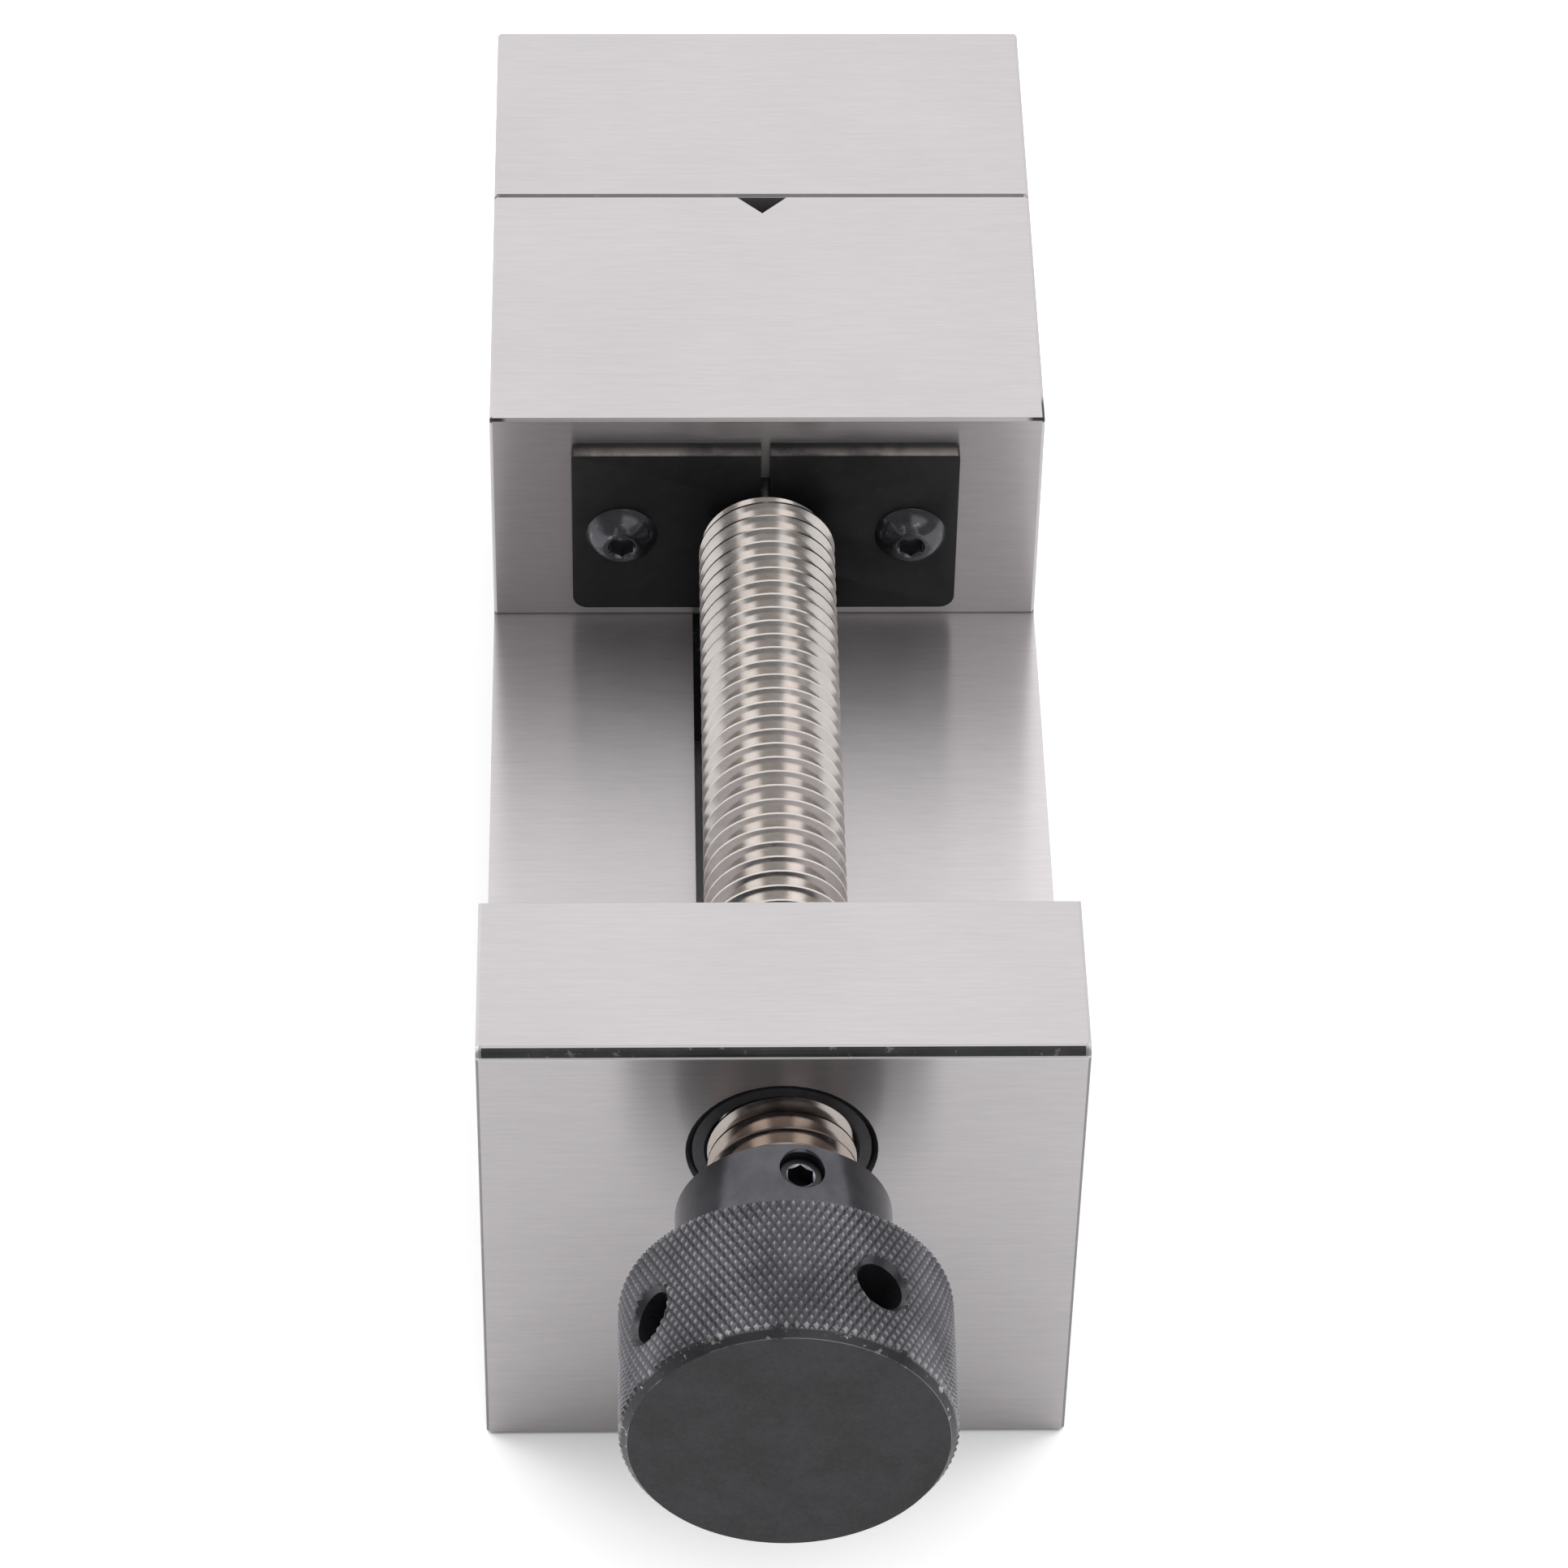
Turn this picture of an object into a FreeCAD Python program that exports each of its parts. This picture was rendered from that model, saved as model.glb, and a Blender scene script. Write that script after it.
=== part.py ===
import FreeCAD, Part
import math
import os
import Sketcher

# Precision tool vise with a lead screw, jaws closed. Millimetres, +Z up, X across the jaws, Y along
# the screw. The origin is on the underside, on the centre line, below the fixed jaw's clamping face.
# The screw and its knob point towards -Y, and the movable jaw opens that way.

document = FreeCAD.newDocument("precision_vise")
sheet = document.addObject("Spreadsheet::Sheet", "Sizes")

SIZES = [
    # body: base, fixed jaw and screw block in one piece
    ("vise_width", 73, "width of body and jaws"),
    ("base_height", 36, "underside to the ways"),
    ("jaw_height", 35, "ways to the top of jaws and screw block"),
    ("fixed_jaw_length", 36, "length of the fixed jaw"),
    ("way_length", 133.5, "clamping face of the fixed jaw to the screw block"),
    ("block_length", 25, "length of the screw block"),
    ("edge_break", 0.4, "chamfer on the ground edges"),
    ("block_chamfer", 0.9, "chamfer on the front top edge of the screw block"),
    ("slot_width", 19.4, "width of the slot between the ways"),
    ("slot_front_wall", 4.5, "screw block to the front end of the slot"),
    ("slot_back_wall", 2.5, "back end of the slot to the clamping face"),
    ("slot_corner", 3, "corner radius of slot and recess"),
    ("recess_width", 38, "width of the recess under the ways"),
    ("recess_height", 18, "height of that recess"),
    ("recess_end_wall", 3, "end of the recess to the end of the slot"),
    ("relief_size", 0.8, "half the square relief at the foot of the fixed jaw"),
    ("groove_height", 8, "height of the clamping grooves in the sides"),
    ("groove_depth", 6, "their depth"),
    ("groove_level", 18, "underside to the middle of the grooves"),
    ("groove_end_wall", 16, "end faces of the body to the ends of the grooves"),
    # movable jaw
    ("jaw_length", 46, "length of the movable jaw"),
    ("tongue_front", 3, "front face of the jaw to its tongue"),
    ("tongue_back", 7, "tongue to the clamping face"),
    ("slide_clearance", 0.05, "running clearance of tongue and keeper"),
    ("vee_width", 7.6, "width of the upright V groove, 90 degrees"),
    ("cross_vee_width", 4, "width of the level V groove, 90 degrees"),
    ("cross_vee_drop", 14, "top of the jaw to the level V groove"),
    # keeper under the ways
    ("keeper_thickness", 10, "thickness of the keeper"),
    ("keeper_length", 34, "length of the keeper"),
    ("keeper_side_gap", 1, "keeper to the walls of the recess"),
    ("keeper_corner", 1, "chamfer on its corners"),
    ("keeper_screw_spacing", 18, "distance between its two screws"),
    ("keeper_screw_reach", 12, "thread of its screws in the tongue"),
    ("cap_thread_radius", 3, "M6 socket-head screw"),
    ("cap_head_radius", 5, "its head"),
    ("cap_head_height", 6, "its head"),
    ("cap_socket", 5, "its hexagon socket, across flats"),
    ("cap_socket_depth", 3, "depth of that socket"),
    ("counterbore_gap", 0.5, "head to counterbore, all round"),
    ("bolt_clearance", 0.25, "through holes are this much wider than their screws, all round"),
    # lead screw
    ("screw_level", 53.5, "underside to the axis of the screw"),
    ("thread_radius", 9, "outside of the M18 thread"),
    ("thread_bevel", 1.2, "bevel at the ends of the thread"),
    ("thread_gap", 2.1, "end of the thread to the plates"),
    ("neck_radius", 4.2, "neck between the plates"),
    ("neck_clearance", 0.3, "neck to the plates, all round"),
    ("pivot_radius", 7.2, "pivot end in the jaw"),
    ("pivot_length", 12, "its length behind the plates"),
    ("pivot_clearance", 0.1, "pivot to its bore, all round and at both ends"),
    ("spigot_radius", 7, "turned end in the knob"),
    ("spigot_length", 17, "its length"),
    ("spigot_spare", 1, "end of the spigot to the end of its bore"),
    # bush in the screw block
    ("bush_radius", 10.8, "outside of the bush"),
    ("bush_clearance", 0.02, "bush to the block, all round"),
    ("bush_running", 0.05, "screw to the bush, all round"),
    ("bush_setback", 0.3, "front face of the block to the bush"),
    ("bush_mouth", 0.35, "chamfer at its front end"),
    ("bore_mouth", 0.8, "chamfer of the bore in the block"),
    ("flange_radius", 14, "flange of the bush, let in behind"),
    ("flange_length", 4, "its thickness"),
    # knob
    ("knob_gap", 10, "front face of the block to the hub"),
    ("hub_radius", 12.95, "hub of the knob"),
    ("hub_length", 14.7, "hub in front of the head"),
    ("hub_bevel", 0.5, "chamfer on the hub"),
    ("knob_radius", 19.7, "knurled head"),
    ("knob_length", 20.1, "length of the head"),
    ("knob_face_radius", 18.65, "flat front face"),
    ("knob_chamfer", 1.4, "front chamfer, along the axis"),
    ("bar_hole_radius", 3.1, "holes for the tommy bar"),
    ("bar_hole_depth", 11, "their depth"),
    ("bar_hole_mouth", 0.8, "chamfer at their mouths"),
    ("bar_hole_place", 9.9, "back of the head to the holes"),
    ("bar_hole_angle", 33.5, "first hole, from the top towards +X, degrees"),
    ("grub_place", 4, "hub end to the set screw"),
    ("grub_angle", 8.9, "set screw, from the top towards +X, degrees"),
    ("knob_clearance", 0.02, "spigot to its bore, all round"),
    # set screw
    ("grub_radius", 2.7, "M6 set screw in the hub"),
    ("grub_length", 4.6, "its length"),
    ("grub_bevel", 0.25, "bevel round its socket"),
    ("grub_socket", 3, "its hexagon socket, across flats"),
    ("grub_socket_depth", 2.5, "depth of that socket"),
    ("thread_fit", 0.02, "fasteners to their holes, all round"),
    # plates that hold the screw's end, and their screws
    ("plate_width", 25, "width of a plate"),
    ("plate_bottom", 39.4, "underside of the body to the plates"),
    ("plate_height", 27.5, "height of a plate"),
    ("plate_thickness", 2.4, "thickness of a plate"),
    ("plate_gap", 1.2, "gap between the plates"),
    ("plate_shift", -0.2, "middle of that gap, off the centre line"),
    ("plate_corner", 2, "corner radius of a plate"),
    ("plate_top_corner", 0.8, "radius of its top corner"),
    ("button_place", 19.2, "centre line to the button-head screws"),
    ("button_level", 52.7, "underside to the button-head screws"),
    ("button_thread_radius", 2.5, "M5 button-head screw"),
    ("button_reach", 9, "its thread in the jaw"),
    ("button_head_radius", 4.75, "its head"),
    ("button_head_height", 2.6, "its head"),
    ("button_flat", 2.3, "radius of the flat round its socket"),
    ("button_socket", 3, "its hexagon socket, across flats"),
    ("button_socket_depth", 1.7, "depth of that socket"),
    ("drill_spare", 1.5, "tapped holes run this much past their screws"),
]

for row, (alias, value, meaning) in enumerate(SIZES, start=1):
    sheet.set(f"A{row}", meaning)
    sheet.set(f"B{row}", str(value))
    sheet.setAlias(f"B{row}", alias)
document.recompute()


def bound(text):
    """Sizes named with $ in a formula, as an expression on the sheet."""
    return text.replace("$", "Sizes.")


def origin_plane(body, role):
    return next(plane for plane in body.Origin.OriginFeatures if plane.Role == role)


def new_body(label, place=("0", "0", "0"), turn=None):
    """A sub-part with its place, and its turn about Y in degrees, bound to the sheet."""
    body = document.addObject("PartDesign::Body", label)
    body.Label = label
    if turn is not None:
        body.Placement = FreeCAD.Placement(FreeCAD.Vector(), FreeCAD.Rotation(FreeCAD.Vector(0, 1, 0), 1))
        body.setExpression("Placement.Rotation.Angle", bound(turn))
    for axis, formula in zip("xyz", place):
        if formula != "0":
            body.setExpression(f"Placement.Base.{axis}", bound(formula))
    return body


def new_sketch(body, name, role, lift=None, turn=None):
    """A sketch on an origin plane, lifted along the plane's normal and turned about Y if asked."""
    sketch = body.newObject("Sketcher::SketchObject", name)
    sketch.AttachmentSupport = [(origin_plane(body, role), "")]
    sketch.MapMode = "FlatFace"
    if turn is not None:
        sketch.AttachmentOffset = FreeCAD.Placement(
            FreeCAD.Vector(), FreeCAD.Rotation(FreeCAD.Vector(0, 1, 0), 1))
        sketch.setExpression("AttachmentOffset.Rotation.Angle", bound(turn))
        sketch.setExpression("AttachmentOffset.Base.x", bound(f"({lift}) * sin(({turn}) * 1 deg)"))
        sketch.setExpression("AttachmentOffset.Base.z", bound(f"({lift}) * cos(({turn}) * 1 deg)"))
    elif lift is not None:
        sketch.setExpression("AttachmentOffset.Base.z", bound(lift))
    return sketch


def worked_out(sketch, formula):
    """The number a formula gives with the sheet's present sizes."""
    return float(sketch.evalExpression(bound(formula)))


def point_at(sketch, across, up):
    return FreeCAD.Vector(worked_out(sketch, across), worked_out(sketch, up), 0)


def pin_point(sketch, edge, end, across, up):
    """Holds a point of the sketch at two formulas, measured from the sketch's origin."""
    for kind, axis, formula in (("DistanceX", -2, across), ("DistanceY", -1, up)):
        if formula == "0":
            sketch.addConstraint(Sketcher.Constraint("PointOnObject", edge, end, axis))
        else:
            distance = Sketcher.Constraint(kind, -1, 1, edge, end, worked_out(sketch, formula))
            index = sketch.addConstraint(distance)
            sketch.setExpression(f"Constraints[{index}]", bound(formula))


def dome_arc(start, end):
    """The arc between two points of an outline whose middle lies on the upright axis."""
    middle = (start.x ** 2 + start.y ** 2 - end.x ** 2 - end.y ** 2) / (2 * (start.y - end.y))
    radius = math.hypot(start.x, start.y - middle)
    whole = Part.Circle(FreeCAD.Vector(0, middle, 0), FreeCAD.Vector(0, 0, 1), radius)
    return Part.ArcOfCircle(
        whole, math.atan2(start.y - middle, start.x), math.atan2(end.y - middle, end.x))


def outline(sketch, corners, dome=None):
    """A closed outline through corners that are pairs of formulas.

    The edges are straight, apart from the one after corner number dome, an arc centred on the upright axis.
    """
    first = sketch.GeometryCount
    count = len(corners)
    points = [point_at(sketch, across, up) for across, up in corners]
    for k in range(count):
        make_edge = dome_arc if k == dome else Part.LineSegment
        sketch.addGeometry(make_edge(points[k], points[(k + 1) % count]), False)
    for k in range(count):
        sketch.addConstraint(Sketcher.Constraint("Coincident", first + k, 2, first + (k + 1) % count, 1))
    if dome is not None:
        sketch.addConstraint(Sketcher.Constraint("PointOnObject", first + dome, 3, -2))
    for k, (across, up) in enumerate(corners):
        pin_point(sketch, first + k, 1, across, up)
    return sketch


def box_outline(sketch, left, right, bottom, top):
    return outline(sketch, [(left, bottom), (right, bottom), (right, top), (left, top)])


def circle(sketch, across, up, radius):
    width = worked_out(sketch, radius)
    edge = sketch.addGeometry(
        Part.Circle(point_at(sketch, across, up), FreeCAD.Vector(0, 0, 1), width), False)
    pin_point(sketch, edge, 3, across, up)
    index = sketch.addConstraint(Sketcher.Constraint("Radius", edge, width))
    sketch.setExpression(f"Constraints[{index}]", bound(radius))
    return sketch


def hexagon(sketch, across, up, flats):
    """A hexagon by its width across flats, with two flats upright."""
    tip = f"({flats}) / sqrt(3)"
    half = f"({flats}) / 2"
    right, left = f"({across}) + {half}", f"({across}) - {half}"
    high, low = f"({up}) + {tip} / 2", f"({up}) - {tip} / 2"
    return outline(sketch, [(right, high), (across, f"({up}) + {tip}"), (left, high),
                            (left, low), (across, f"({up}) - {tip}"), (right, low)])


def pad(body, name, sketch, length, both_ways=False, backwards=False):
    feature = body.newObject("PartDesign::Pad", name)
    feature.Profile = sketch
    feature.SideType = "Symmetric" if both_ways else "One side"
    feature.Reversed = backwards
    feature.setExpression("Length", bound(length))
    document.recompute()
    return feature


def pocket(body, name, sketch, depth, both_ways=False, backwards=False):
    """Cuts a sketch out, and stops if nothing was cut."""
    before = body.Shape.Volume
    feature = body.newObject("PartDesign::Pocket", name)
    feature.Profile = sketch
    feature.SideType = "Symmetric" if both_ways else "One side"
    feature.Reversed = backwards
    feature.setExpression("Length", bound(depth))
    document.recompute()
    if body.Shape.Volume > before - 1e-3:
        raise ValueError(f"{body.Label}: {name} cuts nothing")
    return feature


def revolve(body, name, sketch):
    """Turns a profile about the body's own Y axis."""
    feature = body.newObject("PartDesign::Revolution", name)
    feature.Profile = sketch
    feature.ReferenceAxis = (sketch, ["V_Axis"])
    feature.Angle = 360
    document.recompute()
    return feature


def edges_where(shape, test):
    """Names of the straight edges whose ends pass a test."""
    return [f"Edge{k}" for k, edge in enumerate(shape.Edges, start=1)
            if isinstance(edge.Curve, Part.Line) and test([vertex.Point for vertex in edge.Vertexes])]


def rims_where(shape, test):
    """Names of the circular edges whose middle passes a test."""
    return [f"Edge{k}" for k, edge in enumerate(shape.Edges, start=1)
            if isinstance(edge.Curve, Part.Circle) and test(edge.Curve.Center)]


def curves_where(shape, test):
    """Names of the curved edges, circles apart, whose points all pass a test."""
    return [f"Edge{k}" for k, edge in enumerate(shape.Edges, start=1)
            if not isinstance(edge.Curve, (Part.Circle, Part.Line))
            and all(test(point) for point in edge.discretize(5))]


def chamfer(body, name, names, width):
    feature = body.newObject("PartDesign::Chamfer", name)
    feature.Base = (feature.BaseFeature, names)
    feature.setExpression("Size", bound(width))
    document.recompute()
    return feature


def round_edges(body, name, names, radius):
    feature = body.newObject("PartDesign::Fillet", name)
    feature.Base = (feature.BaseFeature, names)
    feature.setExpression("Radius", bound(radius))
    document.recompute()
    return feature


def size(alias):
    return float(sheet.get(alias))


def near(value, target):
    return abs(value - target) < 1e-4


TOP = "($base_height + $jaw_height)"
BLOCK_BACK = "(-$way_length)"
BLOCK_FRONT = "(-$way_length - $block_length)"
SLOT_FRONT = "(-$way_length + $slot_front_wall)"
SLOT_BACK = "(-$slot_back_wall)"
GROOVE_FRONT = "(-$way_length - $block_length + $groove_end_wall + $groove_height / 2)"
GROOVE_BACK = "($fixed_jaw_length - $groove_end_wall - $groove_height / 2)"
JAW_FRONT = "(-$jaw_length)"
KEEPER_TOP = "($recess_height - $slide_clearance)"
KEEPER_FLOOR = "($recess_height - $slide_clearance - $keeper_thickness)"
TONGUE_MIDDLE = "(-($jaw_length - $tongue_front + $tongue_back) / 2)"
KNOB_PLACE = "(-$way_length - $block_length - $knob_gap)"
HUB_END = "(-$way_length - $block_length - $knob_gap + $jaw_length)"


def make_body():
    """Base, fixed jaw and screw block in one, with slot, recess, side grooves and bores cut out."""
    body = new_body("body")
    profile = new_sketch(body, "body_profile", "YZ_Plane")
    outline(profile, [
        (BLOCK_FRONT, "0"), ("$fixed_jaw_length", "0"), ("$fixed_jaw_length", TOP), ("0", TOP),
        ("0", "$base_height + $relief_size"), ("$relief_size", "$base_height + $relief_size"),
        ("$relief_size", "$base_height - $relief_size"), ("-$relief_size", "$base_height - $relief_size"),
        ("-$relief_size", "$base_height"), (BLOCK_BACK, "$base_height"),
        (BLOCK_BACK, TOP), (BLOCK_FRONT, TOP)])
    pad(body, "body_block", profile, "$vise_width", both_ways=True)

    front = -size("way_length") - size("block_length")
    back = size("fixed_jaw_length")
    top = size("base_height") + size("jaw_height")
    half = size("vise_width") / 2
    chamfer(body, "front_top_edge",
            edges_where(body.Shape, lambda ends: all(near(p.y, front) and near(p.z, top) for p in ends)),
            "$block_chamfer")

    def ground(ends):
        on_side = all(near(abs(p.x), half) for p in ends)
        at_front = all(p.y < front + size("block_chamfer") + 1e-3 for p in ends)
        at_back = all(near(p.y, back) for p in ends)
        at_top = all(near(p.z, top) for p in ends)
        at_foot = all(near(p.z, 0) for p in ends)
        return at_foot or on_side and (at_front or at_back or at_top) or at_back and at_top

    chamfer(body, "ground_edges", edges_where(body.Shape, ground), "$edge_break")

    slot = new_sketch(body, "slot_outline", "XY_Plane")
    box_outline(slot, "-$slot_width / 2", "$slot_width / 2", SLOT_FRONT, SLOT_BACK)
    pocket(body, "slot", slot, "$base_height", backwards=True)
    slot_half = size("slot_width") / 2
    round_edges(body, "slot_corners", edges_where(
        body.Shape, lambda ends: all(near(abs(p.x), slot_half) for p in ends)
        and not near(ends[0].z, ends[1].z)), "$slot_corner")

    recess = new_sketch(body, "recess_outline", "XY_Plane")
    box_outline(recess, "-$recess_width / 2", "$recess_width / 2", f"{SLOT_FRONT} + $recess_end_wall",
                f"{SLOT_BACK} - $recess_end_wall")
    pocket(body, "recess", recess, "$recess_height", backwards=True)
    recess_half = size("recess_width") / 2
    round_edges(body, "recess_corners", edges_where(
        body.Shape, lambda ends: all(near(abs(p.x), recess_half) for p in ends)
        and not near(ends[0].z, ends[1].z)), "$slot_corner")

    middle = new_sketch(body, "groove_outline", "YZ_Plane", lift="$vise_width / 2")
    box_outline(middle, GROOVE_FRONT, GROOVE_BACK, "$groove_level - $groove_height / 2",
                "$groove_level + $groove_height / 2")
    ends = new_sketch(body, "groove_ends_outline", "YZ_Plane", lift="$vise_width / 2")
    circle(ends, GROOVE_FRONT, "$groove_level", "$groove_height / 2")
    circle(ends, GROOVE_BACK, "$groove_level", "$groove_height / 2")
    one_side = [pocket(body, "side_groove", middle, "$groove_depth"),
                pocket(body, "side_groove_ends", ends, "$groove_depth")]
    both_grooves = body.newObject("PartDesign::Mirrored", "both_grooves")
    both_grooves.Originals = one_side
    both_grooves.MirrorPlane = (origin_plane(body, "YZ_Plane"), [""])
    body.Tip = both_grooves
    document.recompute()

    bore = new_sketch(body, "bush_bore_outline", "XZ_Plane", lift="$way_length + $block_length")
    circle(bore, "0", "$screw_level", "$bush_radius + $bush_clearance")
    pocket(body, "bush_bore", bore, "$block_length")
    seat = new_sketch(body, "flange_seat_outline", "XZ_Plane", lift="$way_length")
    circle(seat, "0", "$screw_level", "$flange_radius + $bush_clearance")
    pocket(body, "flange_seat", seat, "$flange_length", backwards=True)
    level = size("screw_level")
    mouth = rims_where(body.Shape, lambda middle: near(middle.y, front) and near(middle.z, level))
    chamfer(body, "bore_mouth_edge", mouth, "$bore_mouth")
    return body


def make_movable_jaw():
    """The jaw with its tongue, its two V grooves, the blind bore for the screw and the tapped holes."""
    body = new_body("movable_jaw")
    profile = new_sketch(body, "jaw_profile", "YZ_Plane")
    box_outline(profile, JAW_FRONT, "0", "$base_height", TOP)
    pad(body, "jaw_block", profile, "$vise_width", both_ways=True)
    front = -size("jaw_length")
    top = size("base_height") + size("jaw_height")
    half = size("vise_width") / 2

    def ground(ends):
        on_side = all(near(abs(p.x), half) for p in ends)
        upright = not near(ends[0].z, ends[1].z)
        at_top = all(near(p.z, top) for p in ends)
        return on_side and (upright or at_top) or at_top and all(near(p.y, front) for p in ends)

    chamfer(body, "jaw_edges", edges_where(body.Shape, ground), "$edge_break")
    tongue = new_sketch(body, "tongue_outline", "XY_Plane", lift=KEEPER_TOP)
    box_outline(tongue, "-$slot_width / 2 + $slide_clearance", "$slot_width / 2 - $slide_clearance",
                f"{JAW_FRONT} + $tongue_front", "-$tongue_back")
    pad(body, "tongue", tongue, "$base_height - " + KEEPER_TOP)

    upright_vee = new_sketch(body, "upright_vee_outline", "XY_Plane", lift=TOP)
    outline(upright_vee, [("-$vee_width / 2", "0"), ("0", "-$vee_width / 2"), ("$vee_width / 2", "0")])
    pocket(body, "upright_vee", upright_vee, "$jaw_height")
    level_vee = new_sketch(body, "level_vee_outline", "YZ_Plane")
    middle = TOP + " - $cross_vee_drop"
    outline(level_vee, [
        ("0", middle + " - $cross_vee_width / 2"), ("0", middle + " + $cross_vee_width / 2"),
        ("-$cross_vee_width / 2", middle)])
    pocket(body, "level_vee", level_vee, "$vise_width", both_ways=True)

    bore = new_sketch(body, "pivot_bore_outline", "XZ_Plane", lift="$jaw_length")
    circle(bore, "0", "$screw_level", "$pivot_radius + $pivot_clearance")
    pocket(body, "pivot_bore", bore, "$pivot_length + 2 * $pivot_clearance")
    holes = new_sketch(body, "button_holes_outline", "XZ_Plane", lift="$jaw_length")
    circle(holes, "-$button_place", "$button_level", "$button_thread_radius + $thread_fit")
    circle(holes, "$button_place", "$button_level", "$button_thread_radius + $thread_fit")
    pocket(body, "button_holes", holes, "$button_reach + $drill_spare")
    tapped = new_sketch(body, "keeper_holes_outline", "XY_Plane", lift=KEEPER_TOP)
    circle(tapped, "0", TONGUE_MIDDLE + " - $keeper_screw_spacing / 2", "$cap_thread_radius + $thread_fit")
    circle(tapped, "0", TONGUE_MIDDLE + " + $keeper_screw_spacing / 2", "$cap_thread_radius + $thread_fit")
    pocket(body, "keeper_holes", tapped, "$keeper_screw_reach + $drill_spare", backwards=True)
    return body


def make_keeper():
    """The plate under the ways, with two counterbored holes from beneath."""
    body = new_body("keeper_plate")
    plan = new_sketch(body, "keeper_plan", "XY_Plane", lift=KEEPER_FLOOR)
    box_outline(plan, "-$recess_width / 2 + $keeper_side_gap", "$recess_width / 2 - $keeper_side_gap",
                TONGUE_MIDDLE + " - $keeper_length / 2", TONGUE_MIDDLE + " + $keeper_length / 2")
    pad(body, "keeper_block", plan, "$keeper_thickness")
    chamfer(body, "keeper_corners", edges_where(
        body.Shape, lambda ends: not near(ends[0].z, ends[1].z)), "$keeper_corner")
    for name, radius, depth in (
            ("counterbore", "$cap_head_radius + $counterbore_gap", "$cap_head_height + $counterbore_gap"),
            ("through_hole", "$cap_thread_radius + $bolt_clearance", "$keeper_thickness")):
        sketch = new_sketch(body, name + "_outline", "XY_Plane", lift=KEEPER_FLOOR)
        circle(sketch, "0", TONGUE_MIDDLE + " - $keeper_screw_spacing / 2", radius)
        circle(sketch, "0", TONGUE_MIDDLE + " + $keeper_screw_spacing / 2", radius)
        pocket(body, name, sketch, depth, backwards=True)
    return body


def make_keeper_screw(label, step):
    """M6 socket-head screw, head down in the keeper."""
    seat = KEEPER_FLOOR + " + $cap_head_height + $counterbore_gap"
    tip = "($keeper_thickness - $cap_head_height - $counterbore_gap + $keeper_screw_reach)"
    body = new_body(label, ("0", f"{TONGUE_MIDDLE} {step} $keeper_screw_spacing / 2", seat))
    profile = new_sketch(body, label + "_profile", "XZ_Plane")
    outline(profile, [
        ("0", "-$cap_head_height"), ("$cap_head_radius", "-$cap_head_height"), ("$cap_head_radius", "0"),
        ("$cap_thread_radius", "0"), ("$cap_thread_radius", tip), ("0", tip)])
    revolve(body, label + "_turned", profile)
    socket = new_sketch(body, label + "_socket_outline", "XY_Plane", lift="-$cap_head_height")
    hexagon(socket, "0", "0", "$cap_socket")
    pocket(body, label + "_socket", socket, "$cap_socket_depth", backwards=True)
    return body


def make_lead_screw():
    """Pivot end and neck in the jaw, the thread's outside, and the spigot in the knob."""
    body = new_body("lead_screw", ("0", JAW_FRONT, "$screw_level"))
    tip = "$pivot_clearance + $pivot_length"
    thread_end = "(-$plate_thickness - $thread_gap)"
    profile = new_sketch(body, "screw_profile", "XY_Plane")
    outline(profile, [
        ("0", tip), ("$pivot_radius", tip), ("$pivot_radius", "$pivot_clearance"),
        ("$neck_radius", "$pivot_clearance"), ("$neck_radius", thread_end),
        ("$thread_radius - $thread_bevel", thread_end), ("$thread_radius", thread_end + " - $thread_bevel"),
        ("$thread_radius", HUB_END), ("$spigot_radius", HUB_END),
        ("$spigot_radius", HUB_END + " - $spigot_length"), ("0", HUB_END + " - $spigot_length")])
    revolve(body, "screw_turned", profile)
    return body


def make_bush():
    """The bush in the screw block, its flange let in behind so that the jaw's thrust can't push it out."""
    body = new_body("nut_bush", ("0", BLOCK_FRONT, "$screw_level"))
    inner = "($thread_radius + $bush_running)"
    profile = new_sketch(body, "bush_profile", "XY_Plane")
    outline(profile, [
        (inner + " + $bush_mouth", "$bush_setback"), ("$bush_radius", "$bush_setback"),
        ("$bush_radius", "$block_length - $flange_length"),
        ("$flange_radius", "$block_length - $flange_length"), ("$flange_radius", "$block_length"),
        (inner, "$block_length"), (inner, "$bush_setback + $bush_mouth")])
    revolve(body, "bush_turned", profile)
    return body


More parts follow.
